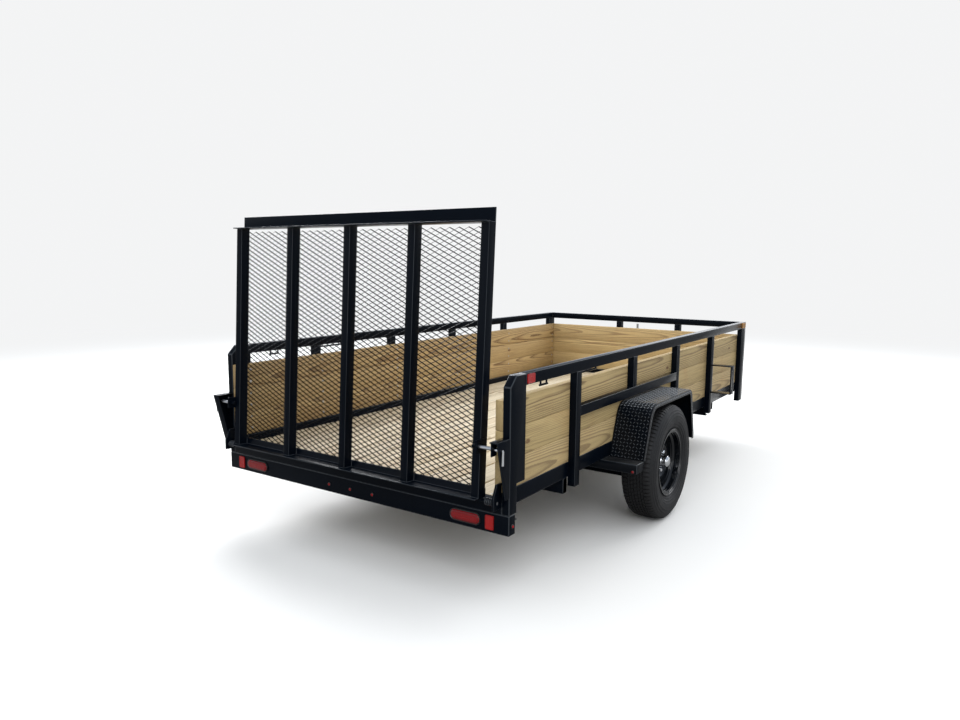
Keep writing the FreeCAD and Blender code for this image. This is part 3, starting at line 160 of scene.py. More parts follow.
def split(kind, given):
    # the three parts of a vector (kind XYZ) or of a colour (kind Color)
    node = put(given.id_data, "ShaderNodeSeparate" + kind)
    feed(node.inputs[0], given)
    return node.outputs[0], node.outputs[1], node.outputs[2]


def mixColours(share, first, second):
    node = put(share.id_data, "ShaderNodeMix", data_type="RGBA")
    feed(node.inputs[0], share)
    for socket, value in ((node.inputs[6], first), (node.inputs[7], second)):
        feed(socket, (*value, 1) if isinstance(value, tuple) else value)
    return node.outputs[2]


def spread(value, low, high, newLow=0.0, newHigh=1.0):
    # what lies between low and high is spread between the two new limits
    node = put(value.id_data, "ShaderNodeMapRange", clamp=True)
    feedNode(node, Value=value, From_Min=low, From_Max=high, To_Min=newLow, To_Max=newHigh)
    return node.outputs["Result"]


def noise(vector, scale, detail=3.0, roughness=0.5, distortion=0.0):
    node = put(vector.id_data, "ShaderNodeTexNoise")
    feedNode(node, Vector=vector, Scale=scale, Detail=detail, Roughness=roughness, Distortion=distortion)
    return node.outputs["Fac"]


# Settled dust: on what faces up, and thicker low on the sides
def makeDustGroup():
    tree, given, result = newGroup("settledDust", ("Vector", "Amount", "Low Height"), ("Mask",))
    vector = given["Vector"]
    shape = put(tree, "ShaderNodeNewGeometry")
    upward = spread(split("XYZ", shape.outputs["Normal"])[2], 0.3, 1.0, 0.0, 0.8)
    height = mathNode("DIVIDE", split("XYZ", vector)[2], given["Low Height"])
    lowness = minus(1.0, height, clamp=True)
    patches = spread(noise(vector, 5.0, 6.0, 0.65), 0.36, 0.7)
    specks = spread(noise(vector, 160.0, 3.0, 0.7), 0.45, 0.72)
    both = plus(upward, times(lowness, 0.7), clamp=True)
    grime = plus(times(patches, 0.75), times(specks, 0.4), clamp=True)
    mask = times(times(both, grime), given["Amount"], clamp=True)
    feedNode(result, Mask=mask)
    return tree


# Fine texture of a sprayed or baked coat
def makeCoatGroup():
    tree, given, result = newGroup(
        "bakedCoat", ("Vector", "Grain Scale", "Smooth", "Rough"), ("Roughness", "Height", "Variation"))
    vector = given["Vector"]
    peel = noise(vector, given["Grain Scale"], 2.0)
    broad = noise(vector, 3.5, 5.0, 0.6)
    smears = noise(vector, 38.0, 4.0, 0.7, 1.2)
    share = plus(times(spread(broad, 0.3, 0.7), 0.6), times(smears, 0.4))
    span = minus(given["Rough"], given["Smooth"])
    rough = plus(given["Smooth"], times(share, span))
    feedNode(result, Roughness=rough, Height=peel, Variation=share)
    return tree


# Light scratches and rubbed places on metal
def makeScratchGroup():
    tree, given, result = newGroup("fineScratches", ("Vector", "Stretch", "Amount"), ("Mask",))
    drawn = vectorNode("MULTIPLY", given["Vector"], given["Stretch"])
    lines = spread(noise(drawn, 60.0, 4.0, 0.8), 0.58, 0.74)
    where = spread(noise(given["Vector"], 7.0, 3.0), 0.45, 0.65)
    mask = times(times(lines, where), given["Amount"], clamp=True)
    feedNode(result, Mask=mask)
    return tree


# Sawn pine: growth rings round a log axis that runs beside each board, so that a face shows
# nested arches where the log tapers, and a few knots. The vector is across, along and through.
pine = {
    "boardShift": (3.7, 9.1, 2.3),
    "pithDepth": 0.03,
    "pithDepthSpan": 0.07,
    "pithSideSpan": 0.24,
    "sideSway": 0.03,
    "taperSpan": 0.04,
    "sway": 0.020,
    "ripple": 0.0034,
    "knotBulge": 0.012,
    "ringStrength": (0.4, 1.15),  # of the plainest and the most figured boards
    "streaks": 0.34,
    "fibre": 0.16,
    "plainTone": (0.58, 0.44, 0.25),
    "redTone": (0.45, 0.24, 0.09),
    "knotTone": (0.14, 0.06, 0.025),
    "splitTone": (0.10, 0.06, 0.03),
}


def makePineGroup():
    inputs = ("Vector", "Board", "Pale", "Dark", "Ring Pitch", "Knots")
    tree, given, result = newGroup("sawnPine", inputs, ("Color", "Roughness", "Height"))
    vector = given["Vector"]
    chance = put(tree, "ShaderNodeTexWhiteNoise", noise_dimensions="1D")
    feedNode(chance, W=given["Board"])
    moved = vectorNode("MULTIPLY_ADD", chance.outputs["Color"], pine["boardShift"], vector)
    across, along, through = split("XYZ", vector)
    red, green, blue = split("Color", chance.outputs["Color"])

    def stretchedNoise(factors, *settings):
        return noise(vectorNode("MULTIPLY", moved, factors), *settings)

    sway = minus(stretchedNoise((1.5, 0.9, 1.5), 1.4, 2.0, 0.5), 0.5)
    ripple = minus(stretchedNoise((14.0, 2.2, 14.0), 1.0, 3.0, 0.55), 0.5)
    # knots: the middles of a few chosen cells
    cells = put(tree, "ShaderNodeTexVoronoi", voronoi_dimensions="2D")
    feedNode(cells, Scale=1.0, Vector=vectorNode("MULTIPLY", moved, (7.0, 3.2, 0.0)))
    chosen = mathNode("LESS_THAN", split("Color", cells.outputs["Color"])[0], given["Knots"])
    nearKnot = times(spread(cells.outputs["Distance"], 0.0, 0.34, 1.0, 0.0), chosen)
    # distance from the pith of the log, which sways, tapers and swells round a knot
    depth = plus(through, pine["pithDepth"])
    depth = plus(depth, times(red, pine["pithDepthSpan"]))
    side = times(minus(green, 0.5), pine["pithSideSpan"])
    side = plus(plus(across, side), times(sway, pine["sideSway"]))
    squares = plus(times(depth, depth), times(side, side))
    taper = times(minus(blue, 0.45), pine["taperSpan"])
    radius = plus(mathNode("SQRT", squares), times(along, taper))
    radius = plus(radius, times(sway, pine["sway"]))
    radius = plus(radius, times(ripple, pine["ripple"]))
    radius = plus(radius, times(mathNode("POWER", nearKnot, 2.0), pine["knotBulge"]))
    rings = mathNode("FRACT", mathNode("DIVIDE", radius, given["Ring Pitch"]))
    late = times(mathNode("POWER", rings, 4.0), spread(rings, 0.93, 1.0, 1.6, 0.0))
    fibre = stretchedNoise((900.0, 16.0, 900.0), 1.0, 3.0, 0.6)
    blotch = noise(moved, 4.0, 4.0, 0.6)
    share = times(late, spread(blotch, 0.3, 0.65, 0.9, 1.5))
    share = times(share, spread(red, 0.15, 0.65, *pine["ringStrength"]))
    streaks = stretchedNoise((130.0, 2.6, 130.0), 1.0, 3.0, 0.6)
    share = plus(share, spread(streaks, 0.42, 0.68, 0.0, pine["streaks"]))
    share = plus(share, times(spread(fibre, 0.4, 0.75), pine["fibre"]), clamp=True)
    colour = mixColours(share, given["Pale"], given["Dark"])
    colour = mixColours(times(blue, 0.35), colour, pine["plainTone"])
    reddened = times(spread(blotch, 0.52, 0.78), times(green, 0.5))
    colour = mixColours(reddened, colour, pine["redTone"])
    knot = times(spread(cells.outputs["Distance"], 0.05, 0.085, 0.85, 0.0), chosen)
    colour = mixColours(knot, colour, pine["knotTone"])
    cracks = stretchedNoise((190.0, 6.0, 190.0), 1.0, 2.0, 0.5)
    colour = mixColours(times(spread(cracks, 0.70, 0.77), 0.75), colour, pine["splitTone"])
    height = plus(times(late, 0.5), times(fibre, 0.5))
    rough = spread(fibre, 0.3, 0.7, 0.6, 0.8)
    feedNode(result, Color=colour, Roughness=rough, Height=height)
    return tree


dustGroup = makeDustGroup()
coatGroup = makeCoatGroup()
scratchGroup = makeScratchGroup()
pineGroup = makePineGroup()
print("node groups are made")


# Materials

def newMaterial(name):
    material = bpy.data.materials.new(name)
    material.use_nodes = True
    tree = material.node_tree
    shader = tree.nodes["Principled BSDF"]
    place = put(tree, "ShaderNodeTexCoord")
    return material, shader, place.outputs["Object"]


def useGroup(group, vector, **values):
    node = put(vector.id_data, "ShaderNodeGroup", node_tree=group)
    feedNode(node, Vector=vector, **values)
    return node.outputs


def dustMask(vector, amount, lowHeight=0.35):
    return useGroup(dustGroup, vector, Amount=amount, Low_Height=lowHeight)["Mask"]


def addBump(shader, height, distance, strength):
    bump = put(shader.id_data, "ShaderNodeBump")
    feedNode(bump, Distance=distance, Strength=strength, Height=height)
    feedNode(shader, Normal=bump.outputs["Normal"])


def tint(colour, factor):
    return tuple(part * factor for part in colour)


# The clear coat, whose strength is gloss, shows in full where the paint is seen at a low angle,
# as it does along the tops of the rails.
def paintedSteel(name, colour, smooth, rough, grain, dust, gloss, coatRough=0.16, lowAngle=(0.76, 0.84)):
    material, shader, vector = newMaterial(name)
    coat = useGroup(coatGroup, vector, Grain_Scale=grain, Smooth=smooth, Rough=rough)
    soil = dustMask(vector, dust)
    tone = mixColours(coat["Variation"], tint(colour, 0.8), tint(colour, 1.35))
    tone = mixColours(soil, tone, (0.24, 0.235, 0.225))
    worn = plus(coat["Roughness"], times(soil, 0.4), clamp=True)
    feedNode(shader, Base_Color=tone, Roughness=worn)
    addBump(shader, coat["Height"], 0.00025, 0.35)
    facing = put(shader.id_data, "ShaderNodeLayerWeight")
    feedNode(facing, Blend=0.5)
    coatShare = spread(facing.outputs["Facing"], *lowAngle, gloss, 1.0)
    feedNode(shader, Specular_IOR_Level=0.03, Coat_Weight=coatShare, Coat_Roughness=coatRough)
    return material


def bareMetal(name, colour, roughness, stretch, scratches, dust=0.1):
    material, shader, vector = newMaterial(name)
    marks = useGroup(scratchGroup, vector, Stretch=stretch, Amount=scratches)
    soil = dustMask(vector, dust)
    cloud = noise(vector, 24.0, 4.0, 0.6)
    tone = mixColours(cloud, tint(colour, 0.85), colour)
    tone = mixColours(soil, tone, (0.28, 0.25, 0.21))
    rough = spread(cloud, 0.3, 0.7, roughness * 0.8, roughness * 1.25)
    rough = plus(rough, times(marks["Mask"], 0.3), clamp=True)
    feedNode(shader, Base_Color=tone, Roughness=rough, Metallic=1.0)
    addBump(shader, marks["Mask"], 0.0001, 0.4)
    return material


# The axes say which of the object's three axes run across, along and through the boards.
def pineBoards(name, axes, pale, dark, ringPitch, knots, dust):
    material, shader, vector = newMaterial(name)
    parts = split("XYZ", vector)
    turned = put(shader.id_data, "ShaderNodeCombineXYZ")
    for socket, axis in zip(turned.inputs, axes):
        feed(socket, parts[axis])
    number = put(shader.id_data, "ShaderNodeAttribute", attribute_name="boardNumber")
    middle = put(shader.id_data, "ShaderNodeAttribute", attribute_name="boardMiddle")
    centred = vectorNode("SUBTRACT", turned.outputs[0], middle.outputs["Vector"])
    wood = useGroup(
        pineGroup, centred, Board=number.outputs["Fac"], Pale=(*pale, 1), Dark=(*dark, 1),
        Ring_Pitch=ringPitch, Knots=knots)
    soil = dustMask(vector, dust, 0.1)
    tone = mixColours(soil, wood["Color"], (0.40, 0.36, 0.29))
    feedNode(shader, Base_Color=tone, Roughness=wood["Roughness"])
    addBump(shader, wood["Height"], 0.0006, 0.6)
    return material


def rubberMaterial(name, colour, dust):
    material, shader, vector = newMaterial(name)
    soil = dustMask(vector, dust, 0.4)
    fine = noise(vector, 700.0, 3.0, 0.6)
    broad = noise(vector, 9.0, 4.0, 0.6)
    tone = mixColours(broad, tint(colour, 0.8), tint(colour, 1.3))
    tone = mixColours(soil, tone, (0.17, 0.155, 0.13))
    rough = spread(broad, 0.3, 0.7, 0.5, 0.68)
    feedNode(shader, Base_Color=tone, Roughness=rough, Specular_IOR_Level=0.4)
    addBump(shader, fine, 0.0003, 0.5)
    return material


# Lens plastic with rows of small prisms moulded in its face
def lensMaterial(name, colour, glow, prism):
    material, shader, vector = newMaterial(name)
    prisms = put(shader.id_data, "ShaderNodeTexVoronoi", feature="F1", distance="CHEBYCHEV")
    feedNode(prisms, Vector=vector, Scale=1 / prism, Randomness=0.0)
    depth = spread(prisms.outputs["Distance"], 0.0, 0.5, 1.0, 0.0)
    rough = spread(noise(vector, 30.0, 3.0), 0.3, 0.7, 0.12, 0.24)
    tone = mixColours(depth, tint(colour, 0.12), colour)
    feedNode(shader, Base_Color=tone, Roughness=rough, Emission_Color=tone, Emission_Strength=glow)
    feedNode(shader, Specular_IOR_Level=0.3, Coat_Weight=0.25, Coat_Roughness=0.05)
    addBump(shader, depth, prism * 0.3, 0.5)
    return material


def plasticMaterial(name, colour, roughness):
    material, shader, vector = newMaterial(name)
    coat = useGroup(coatGroup, vector, Grain_Scale=1500.0, Smooth=roughness * 0.8, Rough=roughness * 1.2)
    soil = dustMask(vector, 0.3)
    tone = mixColours(coat["Variation"], tint(colour, 0.8), colour)
    tone = mixColours(soil, tone, (0.3, 0.27, 0.23))
    feedNode(shader, Base_Color=tone, Roughness=coat["Roughness"])
    addBump(shader, coat["Height"], 0.0002, 0.4)
    return material


# colour, roughness where smoothest and roughest, scale of the grain, dust
blackPaint = paintedSteel("blackPaint", (0.0014, 0.0030, 0.0062), 0.30, 0.42, 850.0, 0.004, gloss=0.08)
# edge paint is paler than the black: a painted highlight along the rounded edges
edgeHighlightPaint = paintedSteel("edgeHighlightPaint", (0.022, 0.027, 0.033), 0.18, 0.30, 850.0, 0.04, gloss=0.8)
# lug paint is paler than the plate's paint: painted glints on the lugs
lugGlintPaint = paintedSteel("lugGlintPaint", (0.042, 0.048, 0.056), 0.12, 0.24, 1500.0, 0.0, gloss=0.9)
# top lug paint is far paler than the lug paint: painted light on the fender's top, with a little dust
litDustyTopLugPaint = paintedSteel("litDustyTopLugPaint", (0.20, 0.215, 0.235), 0.12, 0.24, 1500.0, 0.05, gloss=0.9)
# spring paint is paler and glossier than the black: a painted glint on the coils
springGlintPaint = paintedSteel("springGlintPaint", (0.020, 0.024, 0.030), 0.14, 0.24, 1500.0, 0.0, gloss=0.9)
# step paint has much more dust, and its paler top is also a painted reflection of the sky
stepDustAndSheenPaint = paintedSteel("stepDustAndSheenPaint", (0.0028, 0.0040, 0.0062), 0.3, 0.45, 850.0, 0.22, gloss=0.2)
meshPaint = paintedSteel("meshPaint", (0.0024, 0.0034, 0.0050), 0.35, 0.5, 700.0, 0.01, gloss=0.1)
treadPaint = paintedSteel(
    "treadPlatePaint", (0.0020, 0.0033, 0.0056), 0.24, 0.36, 1200.0, 0.01, gloss=0.15, lowAngle=(0.60, 0.76))
# top tread paint is paler than the tread paint: painted light on the fender's top, with dust
litDustyTopTreadPaint = paintedSteel(
    "litDustyTopTreadPaint", (0.011, 0.0135, 0.017), 0.24, 0.36, 1200.0, 0.10, gloss=0.2, lowAngle=(0.60, 0.76))
wheelPaint = paintedSteel(
    "wheelPaint", (0.0022, 0.0032, 0.0050), 0.18, 0.30, 1000.0, 0.01, gloss=0.9, coatRough=0.05)
# axes, pale and dark wood, distance between rings, share of knots, dust
sideAxes, frontAxes, deckAxes = (2, 1, 0), (2, 0, 1), (0, 1, 2)
leftPine = pineBoards("leftPine", sideAxes, (0.53, 0.37, 0.165), (0.16, 0.090, 0.032), 0.0064, 0.06, 0.03)
wallPine = pineBoards("wallPine", sideAxes, (0.57, 0.425, 0.19), (0.15, 0.088, 0.030), 0.0066, 0.06, 0.03)
frontPine = pineBoards(
    "frontPine", frontAxes, (0.68, 0.50, 0.225), (0.22, 0.128, 0.046), 0.0072, 0.08, 0.03)
deckPine = pineBoards(
    "deckPine", deckAxes, (0.67, 0.59, 0.44), (0.27, 0.20, 0.115), 0.0064, 0.06, 0.28)
tyreRubber = rubberMaterial("tyreRubber", (0.0085, 0.0088, 0.0100), dust=0.08)
# colour, roughness, how far scratches are drawn out, their strength
brightSteel = bareMetal("brightSteel", (0.62, 0.63, 0.65), 0.3, (1.0, 1.0, 12.0), 0.4)
zincPlate = bareMetal("zincPlate", (0.52, 0.54, 0.57), 0.38, (1.0, 1.0, 6.0), 0.3)
chromePlate = bareMetal("chromePlate", (0.82, 0.83, 0.85), 0.09, (1.0, 1.0, 3.0), 0.1, dust=0.05)
redLens = lensMaterial("redLens", (0.74, 0.003, 0.010), glow=0.20, prism=0.0125)
# the reflectors' glow is painted light; they are no lamps
redReflex = lensMaterial("redReflex", (0.66, 0.006, 0.006), glow=0.26, prism=0.0045)
amberReflex = lensMaterial("amberReflex", (0.95, 0.42, 0.03), glow=0.3, prism=0.0035)
lampRim = plasticMaterial("lampRim", (0.012, 0.012, 0.013), roughness=0.3)
gripRubber = plasticMaterial("gripRubber", (0.015, 0.015, 0.016), roughness=0.6)
print("materials are made")


# Modelling helpers

mergeWithin = 0.02  # millimetres between points that become one
flatWithin = 0.3  # degrees between faces that become one
axisX, axisY, axisZ = (Vector(axis) for axis in ((1, 0, 0), (0, 1, 0), (0, 0, 1)))


def bodyOf(nodeName):
    return next(body for body, members in bodies.items() if nodeName in members)


def clearSelection():
    if bpy.context.object and bpy.context.object.mode != "OBJECT":
        bpy.ops.object.mode_set(mode="OBJECT")
    bpy.ops.object.select_all(action="DESELECT")


def makeActive(piece):
    clearSelection()
    piece.select_set(True)
    bpy.context.view_layer.objects.active = piece


def dress(piece, material, slotName, body, *replaced, smooth=30):
    # the finished object sits at the origin, unturned and unscaled; with no material it keeps its own
    makeActive(piece)
    bpy.ops.object.transform_apply(location=True, rotation=True, scale=True)
    if smooth:
        bpy.ops.object.shade_smooth_by_angle(angle=math.radians(smooth))
    if material:
        piece.data.materials.clear()
        piece.data.materials.append(material)
    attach(piece, body)
    if replaced:
        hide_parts(*replaced)


def openUp(piece):
    # starts edit mode with all of the piece selected
    makeActive(piece)
    bpy.ops.object.mode_set(mode="EDIT")
    bpy.ops.mesh.select_all(action="SELECT")


def mergedCopy(nodeName, name):
    copy = bpy.data.objects.new(name, nodes[nodeName].data.copy())
    bpy.context.scene.collection.objects.link(copy)
    openUp(copy)
    bpy.ops.mesh.remove_doubles(threshold=mm(mergeWithin))
    bpy.ops.mesh.dissolve_limited(angle_limit=math.radians(flatWithin))
    bpy.ops.object.mode_set(mode="OBJECT")
    return copy


def bevelEdges(piece, width, segments=2, angle=40, slot=-1):
    makeActive(piece)
    bevel = piece.modifiers.new("bevel", "BEVEL")
    bevel.material = slot
    bevel.width = width
    bevel.segments = segments
    bevel.limit_method = "ANGLE"
    bevel.angle_limit = math.radians(angle)
    bpy.ops.object.modifier_apply(modifier=bevel.name)


# Steel with rolled corners: each folded tube, angle and plate gets its edge radius in millimetres

steelEdges = {
    "frame_side_rails": 5.0, "frame_headers": 5.0, "cross_members": 2.5, "fender_step": 3.0,
    "tongue_beams": 2.5, "rear_bumper": 3.5, "rear_posts": 4.0, "side_uprights": 4.0, "front_uprights": 4.0,
    "top_rail": 4.0, "side_braces": 4.0, "gate_frame": 1.6, "hinge_ears": 1.2, "latch_brackets": 1.5,
    "spare_wheel_bracket": 1.5, "spring_hangers": 1.2, "spring_clamps": 1.2, "axle": 2.0,
    "tie_down_loops": 1.0,
}


def roundSteel():
    for nodeName, radius in steelEdges.items():
        piece = mergedCopy(nodeName, nodeName + "_steel")
        piece.data.materials.clear()
        piece.data.materials.append(stepDustAndSheenPaint if nodeName == "fender_step" else blackPaint)
        # the rounded edges take the second slot, the paler edge paint, a painted highlight
        piece.data.materials.append(edgeHighlightPaint)
        bevelEdges(piece, mm(radius), 3 if radius > 3 else 2, slot=1)  # wide edges are rounder
        dress(piece, None, "black_paint", bodyOf(nodeName), nodeName)


roundSteel()
print("steel has its rolled edges")


# Boards: eased edges, and a number and middle for each, which the grain reads

boardEdge = mm(2.2)


def numberBoards(piece, axes, firstNumber):
    # each loose part is one board
    mesh = piece.data
    shape = bmesh.new()
    shape.from_mesh(mesh)
    shape.verts.ensure_lookup_table()
    part = [-1] * len(shape.verts)
    middles = []
    for vert in shape.verts:
        if part[vert.index] >= 0:
            continue
        label = len(middles)
        queue, members = [vert], []
        part[vert.index] = label
        while queue:
            here = queue.pop()
            members.append(here.co.copy())
            for edge in here.link_edges:
                other = edge.other_vert(here)
                if part[other.index] < 0:
                    part[other.index] = label
                    queue.append(other)
        low = Vector(min(c[i] for c in members) for i in range(3))
        high = Vector(max(c[i] for c in members) for i in range(3))
        middle = (low + high) / 2
        middles.append(Vector((middle[axes[0]], middle[axes[1]], middle[axes[2]])))
    shape.free()
    numbers = mesh.attributes.new("boardNumber", "FLOAT", "POINT")
    places = mesh.attributes.new("boardMiddle", "FLOAT_VECTOR", "POINT")
    for index, label in enumerate(part):
        numbers.data[index].value = firstNumber + label
        places.data[index].vector = middles[label]


def easeBoards():
    boards = (
        ("side_boards_right", wallPine, sideAxes, 3),
        ("side_boards_left", leftPine, sideAxes, 11),
        ("front_boards", frontPine, frontAxes, 23),
        ("floor_planks", deckPine, deckAxes, 31),
    )
    for nodeName, material, axes, firstNumber in boards:
        piece = mergedCopy(nodeName, nodeName + "_pine")
        bevelEdges(piece, boardEdge)
        numberBoards(piece, axes, firstNumber)
        dress(piece, material, "pine", "trailer", nodeName)


easeBoards()
print("boards are eased and numbered")


# Shapes built from rings of points

def circle(centre, first, second, radius, count, inward=1.0):
    # every other point may lie further in, which gives a nut its flats
    spots = []
    for i in range(count):
        turn = math.tau * i / count
        reach = mm(radius) * (inward if i % 2 else 1.0)
        spots.append(centre + (first * math.cos(turn) + second * math.sin(turn)) * reach)
    return spots


def closeUp():
    # ends edit mode with the seams merged and the faces pointing outwards
    bpy.ops.mesh.select_all(action="SELECT")
    bpy.ops.mesh.remove_doubles(threshold=mm(mergeWithin))
    bpy.ops.mesh.normals_make_consistent(inside=False)
    bpy.ops.object.mode_set(mode="OBJECT")


def pointLoop(name, spots):
    # a circle whose points are put in their places
    clearSelection()
    bpy.ops.mesh.primitive_circle_add(vertices=len(spots), location=(0, 0, 0))
    piece = bpy.context.active_object
    piece.name = name
    for vert, spot in zip(piece.data.vertices, spots):
        vert.co = spot
    openUp(piece)
    return piece


def ringPiece(name, rings):
    # the first ring is closed; each further one is extruded from the one before and put in its place
    piece = pointLoop(name, rings[0])
    bpy.ops.mesh.edge_face_add()
    bpy.ops.mesh.select_all(action="DESELECT")
    shape = bmesh.from_edit_mesh(piece.data)
    for edge in shape.edges:
        edge.select_set(True)
    for ring in rings[1:]:
        bpy.ops.mesh.extrude_edges_move()
        shape = bmesh.from_edit_mesh(piece.data)
        shape.verts.ensure_lookup_table()
        for vert, spot in zip(shape.verts[-len(ring):], ring):
            vert.co = spot
        bmesh.update_edit_mesh(piece.data)
    bpy.ops.mesh.edge_face_add()
    closeUp()
    return piece


def copyTo(piece, matrix):
    # a copy with its own mesh, turned and moved by the matrix
    copy = bpy.data.objects.new(piece.name, piece.data.copy())
    copy.data.transform(matrix)
    bpy.context.scene.collection.objects.link(copy)
    return copy


def joined(name, pieces):
    makeActive(pieces[0])
    for piece in pieces:
        piece.select_set(True)
    bpy.ops.object.join()
    pieces[0].name = name
    return pieces[0]


def copies(name, model, matrices):
    made = [copyTo(model, matrix) for matrix in matrices]
    bpy.data.objects.remove(model)
    return joined(name, made)


mirrorX = Matrix.Scale(-1, 4, axisX)


def mirrored(piece, name):
    copy = copyTo(piece, mirrorX)
    copy.name = name
    openUp(copy)
    bpy.ops.mesh.normals_make_consistent(inside=False)
    bpy.ops.object.mode_set(mode="OBJECT")
    return copy


# Wheels. The right one is modelled and the left one is its mirror image.

wheel = {
    "radius": 331.5,
    "halfWidth": 100.0,
    "spinSteps": 96,
    "hubSteps": 48,
    "beadHalf": 76.7,
    "beadRadius": 196.0,
    "crownHalf": 48.0,
    "treadHalf": 70.0,
    "shoulderHalf": 80.0,
    "shoulderRadius": 317.5,
    "grooveDeep": 6.5,
    "crownDrop": 5,
    "pitches": 84,
    # rows of tread blocks: inner edge, outer edge, share of the pitch that is rubber, shift in pitches
    "rows": (
        (-8, 8, 0.92, 0.0), (12, 25, 0.9, 0.33), (-25, -12, 0.9, 0.66), (29, 41, 0.9, 0.1),
        (-41, -29, 0.9, 0.5),
    ),
    "blockLean": 0.16,  # of a pitch
    "blockSunk": 1.0,
    "blockTaper": 0.94,
    "rubberShare": 0.74,  # of a shoulder block in its pitch
    "shoulderTaper": 0.93,
    # shoulder blocks: distance from the middle and drop below the crown
    "shoulder": ((45.0, 0), (56.0, 1.0), (64.5, 2.6), (73.0, 7.2), (79.0, 14.0), (84.5, 26.0)),
    "shoulderDeepest": 34.0,
    "shoulderTurn": 76,  # past this distance the blocks stand on the sidewall
    "shoulderUndercut": 3.0,
    # raised rings of the sidewall: place between bead and shoulder, height
    "rings": ((0.10, 3.0), (0.22, 2.2), (0.34, 1.6), (0.62, 1.8), (0.76, 2.4), (0.88, 2.0)),
    "ringWide": 0.03,
    "ringRoom": 1.8,
    "wallSteps": 50,
    "linerRadius": 178.0,
    "discEdge": 1.2,
    "nuts": 5,
    "nutCircle": 57.15,
    "nutPoints": 12,
    "nutInward": 0.95,
    "valve": (34, 166),  # across and out from the axle
    "valveLean": 62,
    "valvePoints": 10,
}
# outer flange, seat and stepped well of the rim, then its inside
rimSection = (
    (-82, 194), (-77, 190), (-77, 177.6), (-62, 176.5), (-58, 170), (-44, 161), (-40, 160), (20, 160),
    (26, 161), (40, 170), (44, 176.5), (77, 177.6), (77, 190), (79, 193), (82, 194), (85, 193),
    (86, 190.5), (84.5, 187), (82.5, 186), (82.0, 176), (79, 173.8), (75, 173.6), (73.8, 171.0),
    (71.5, 171.0), (70.3, 173.3), (62, 172.8), (60, 168.5), (57, 168.3), (55, 171.0), (46, 170.6),
    (43.5, 167.5), (38, 163.6), (36.5, 160.2), (34, 159.0), (31, 159.2), (28, 157.2), (20, 156),
    (-40, 156), (-46, 157.4), (-60, 167), (-64, 172.6), (-79, 173.8), (-82, 176), (-83, 187),
    (-86, 190.5), (-85, 193),
)
# bore, domed cap and flange of the hub
hubSection = (
    (-52, 23), (-18, 23), (-18, 0), (75, 0), (75, 14), (74, 19), (71.5, 24), (69, 27), (67, 29),
    (65.5, 31.4), (62, 33), (38, 33.4), (36.5, 34.4), (34, 34.8), (32.5, 35.6), (8, 36.2), (6, 36.8),
    (6, 39.4), (0, 39.4), (0, 70), (-10, 70), (-14, 42), (-52, 42),
)
# reach and radius of each ring of points: a cone seat, the flats and a domed top
nutRings = ((4.6, 7.5), (8.0, 11.8), (9.0, 12.3), (27.5, 12.3), (30, 11.4), (33.5, 8.4), (35.0, 3.6))
valveRings = ((-4, 5.5), (2, 5.5), (4, 4.2), (22, 3.6), (23, 4.0), (33, 4.0), (34, 3.2))
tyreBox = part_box("tyre_right")
axleSpot = (tyreBox[0] + tyreBox[1]) / 2


def wheelPoint(across, radius):
    return axleSpot + Vector((mm(across), 0, mm(radius)))


def spotAt(across, radius, angle):
    return axleSpot + Vector((mm(across), mm(radius) * math.sin(angle), mm(radius) * math.cos(angle)))


def spunPiece(name, section, steps):
    # a closed section, turned all the way round the axle
    piece = pointLoop(name, [wheelPoint(*spot) for spot in section])
    bpy.ops.mesh.spin(steps=steps, angle=math.tau, center=axleSpot, axis=axisX)
    closeUp()
    return piece


def ringOf(piece, count):
    # copies of the whole piece at even turns round the axle
    openUp(piece)
    turn = math.tau * (count - 1) / count
    bpy.ops.mesh.spin(steps=count - 1, angle=turn, dupli=True, center=axleSpot, axis=axisX)
    bpy.ops.object.mode_set(mode="OBJECT")
    return piece


def sidewall(side):
    # from the bead out to the shoulder, bulging to the tyre's full width, with raised rings
    points = []
    narrow, wide = wheel["beadHalf"], wheel["shoulderHalf"]
    inner, outer = wheel["beadRadius"], wheel["shoulderRadius"]
    mostBulge = wheel["halfWidth"] - (narrow + wide) / 2 - wheel["ringRoom"]
    for i in range(wheel["wallSteps"] + 1):
        share = i / wheel["wallSteps"]
        bulge = 4 * share * (1 - share) * mostBulge
        raised = sum(tall * max(0, 1 - abs(share - at) / wheel["ringWide"]) for at, tall in wheel["rings"])
        across = narrow + (wide - narrow) * share + bulge + raised
        points.append((side * across, inner + (outer - inner) * share))
    return points


def tyrePiece():
    floor = wheel["radius"] - wheel["grooveDeep"]
    edge = floor - wheel["crownDrop"]
    crown = [(wheel["treadHalf"], edge), (wheel["crownHalf"], floor)]
    crown += [(-wheel["crownHalf"], floor), (-wheel["treadHalf"], edge)]
    bead = [(side * wheel["beadHalf"], wheel["linerRadius"]) for side in (-1, 1)]
    return spunPiece("tyreCarcass", sidewall(1) + crown + sidewall(-1)[::-1] + bead, wheel["spinSteps"])


def treadRow(inner, outer, share, shift):
    # one block of the row, then the ring of them
    turn = math.tau / wheel["pitches"]
    half = turn * share / 2
    top = half * wheel["blockTaper"]
    low, high = wheel["radius"] - wheel["grooveDeep"] - wheel["blockSunk"], wheel["radius"]
    rings = []
    for across, side in ((inner, -1), (outer, 1)):
        middle = turn * (side * wheel["blockLean"] + shift)
        corners = ((low, -half), (high, -top), (high, top), (low, half))
        rings.append([spotAt(across, radius, angle + middle) for radius, angle in corners])
    return ringOf(ringPiece("treadBlock", rings), wheel["pitches"])


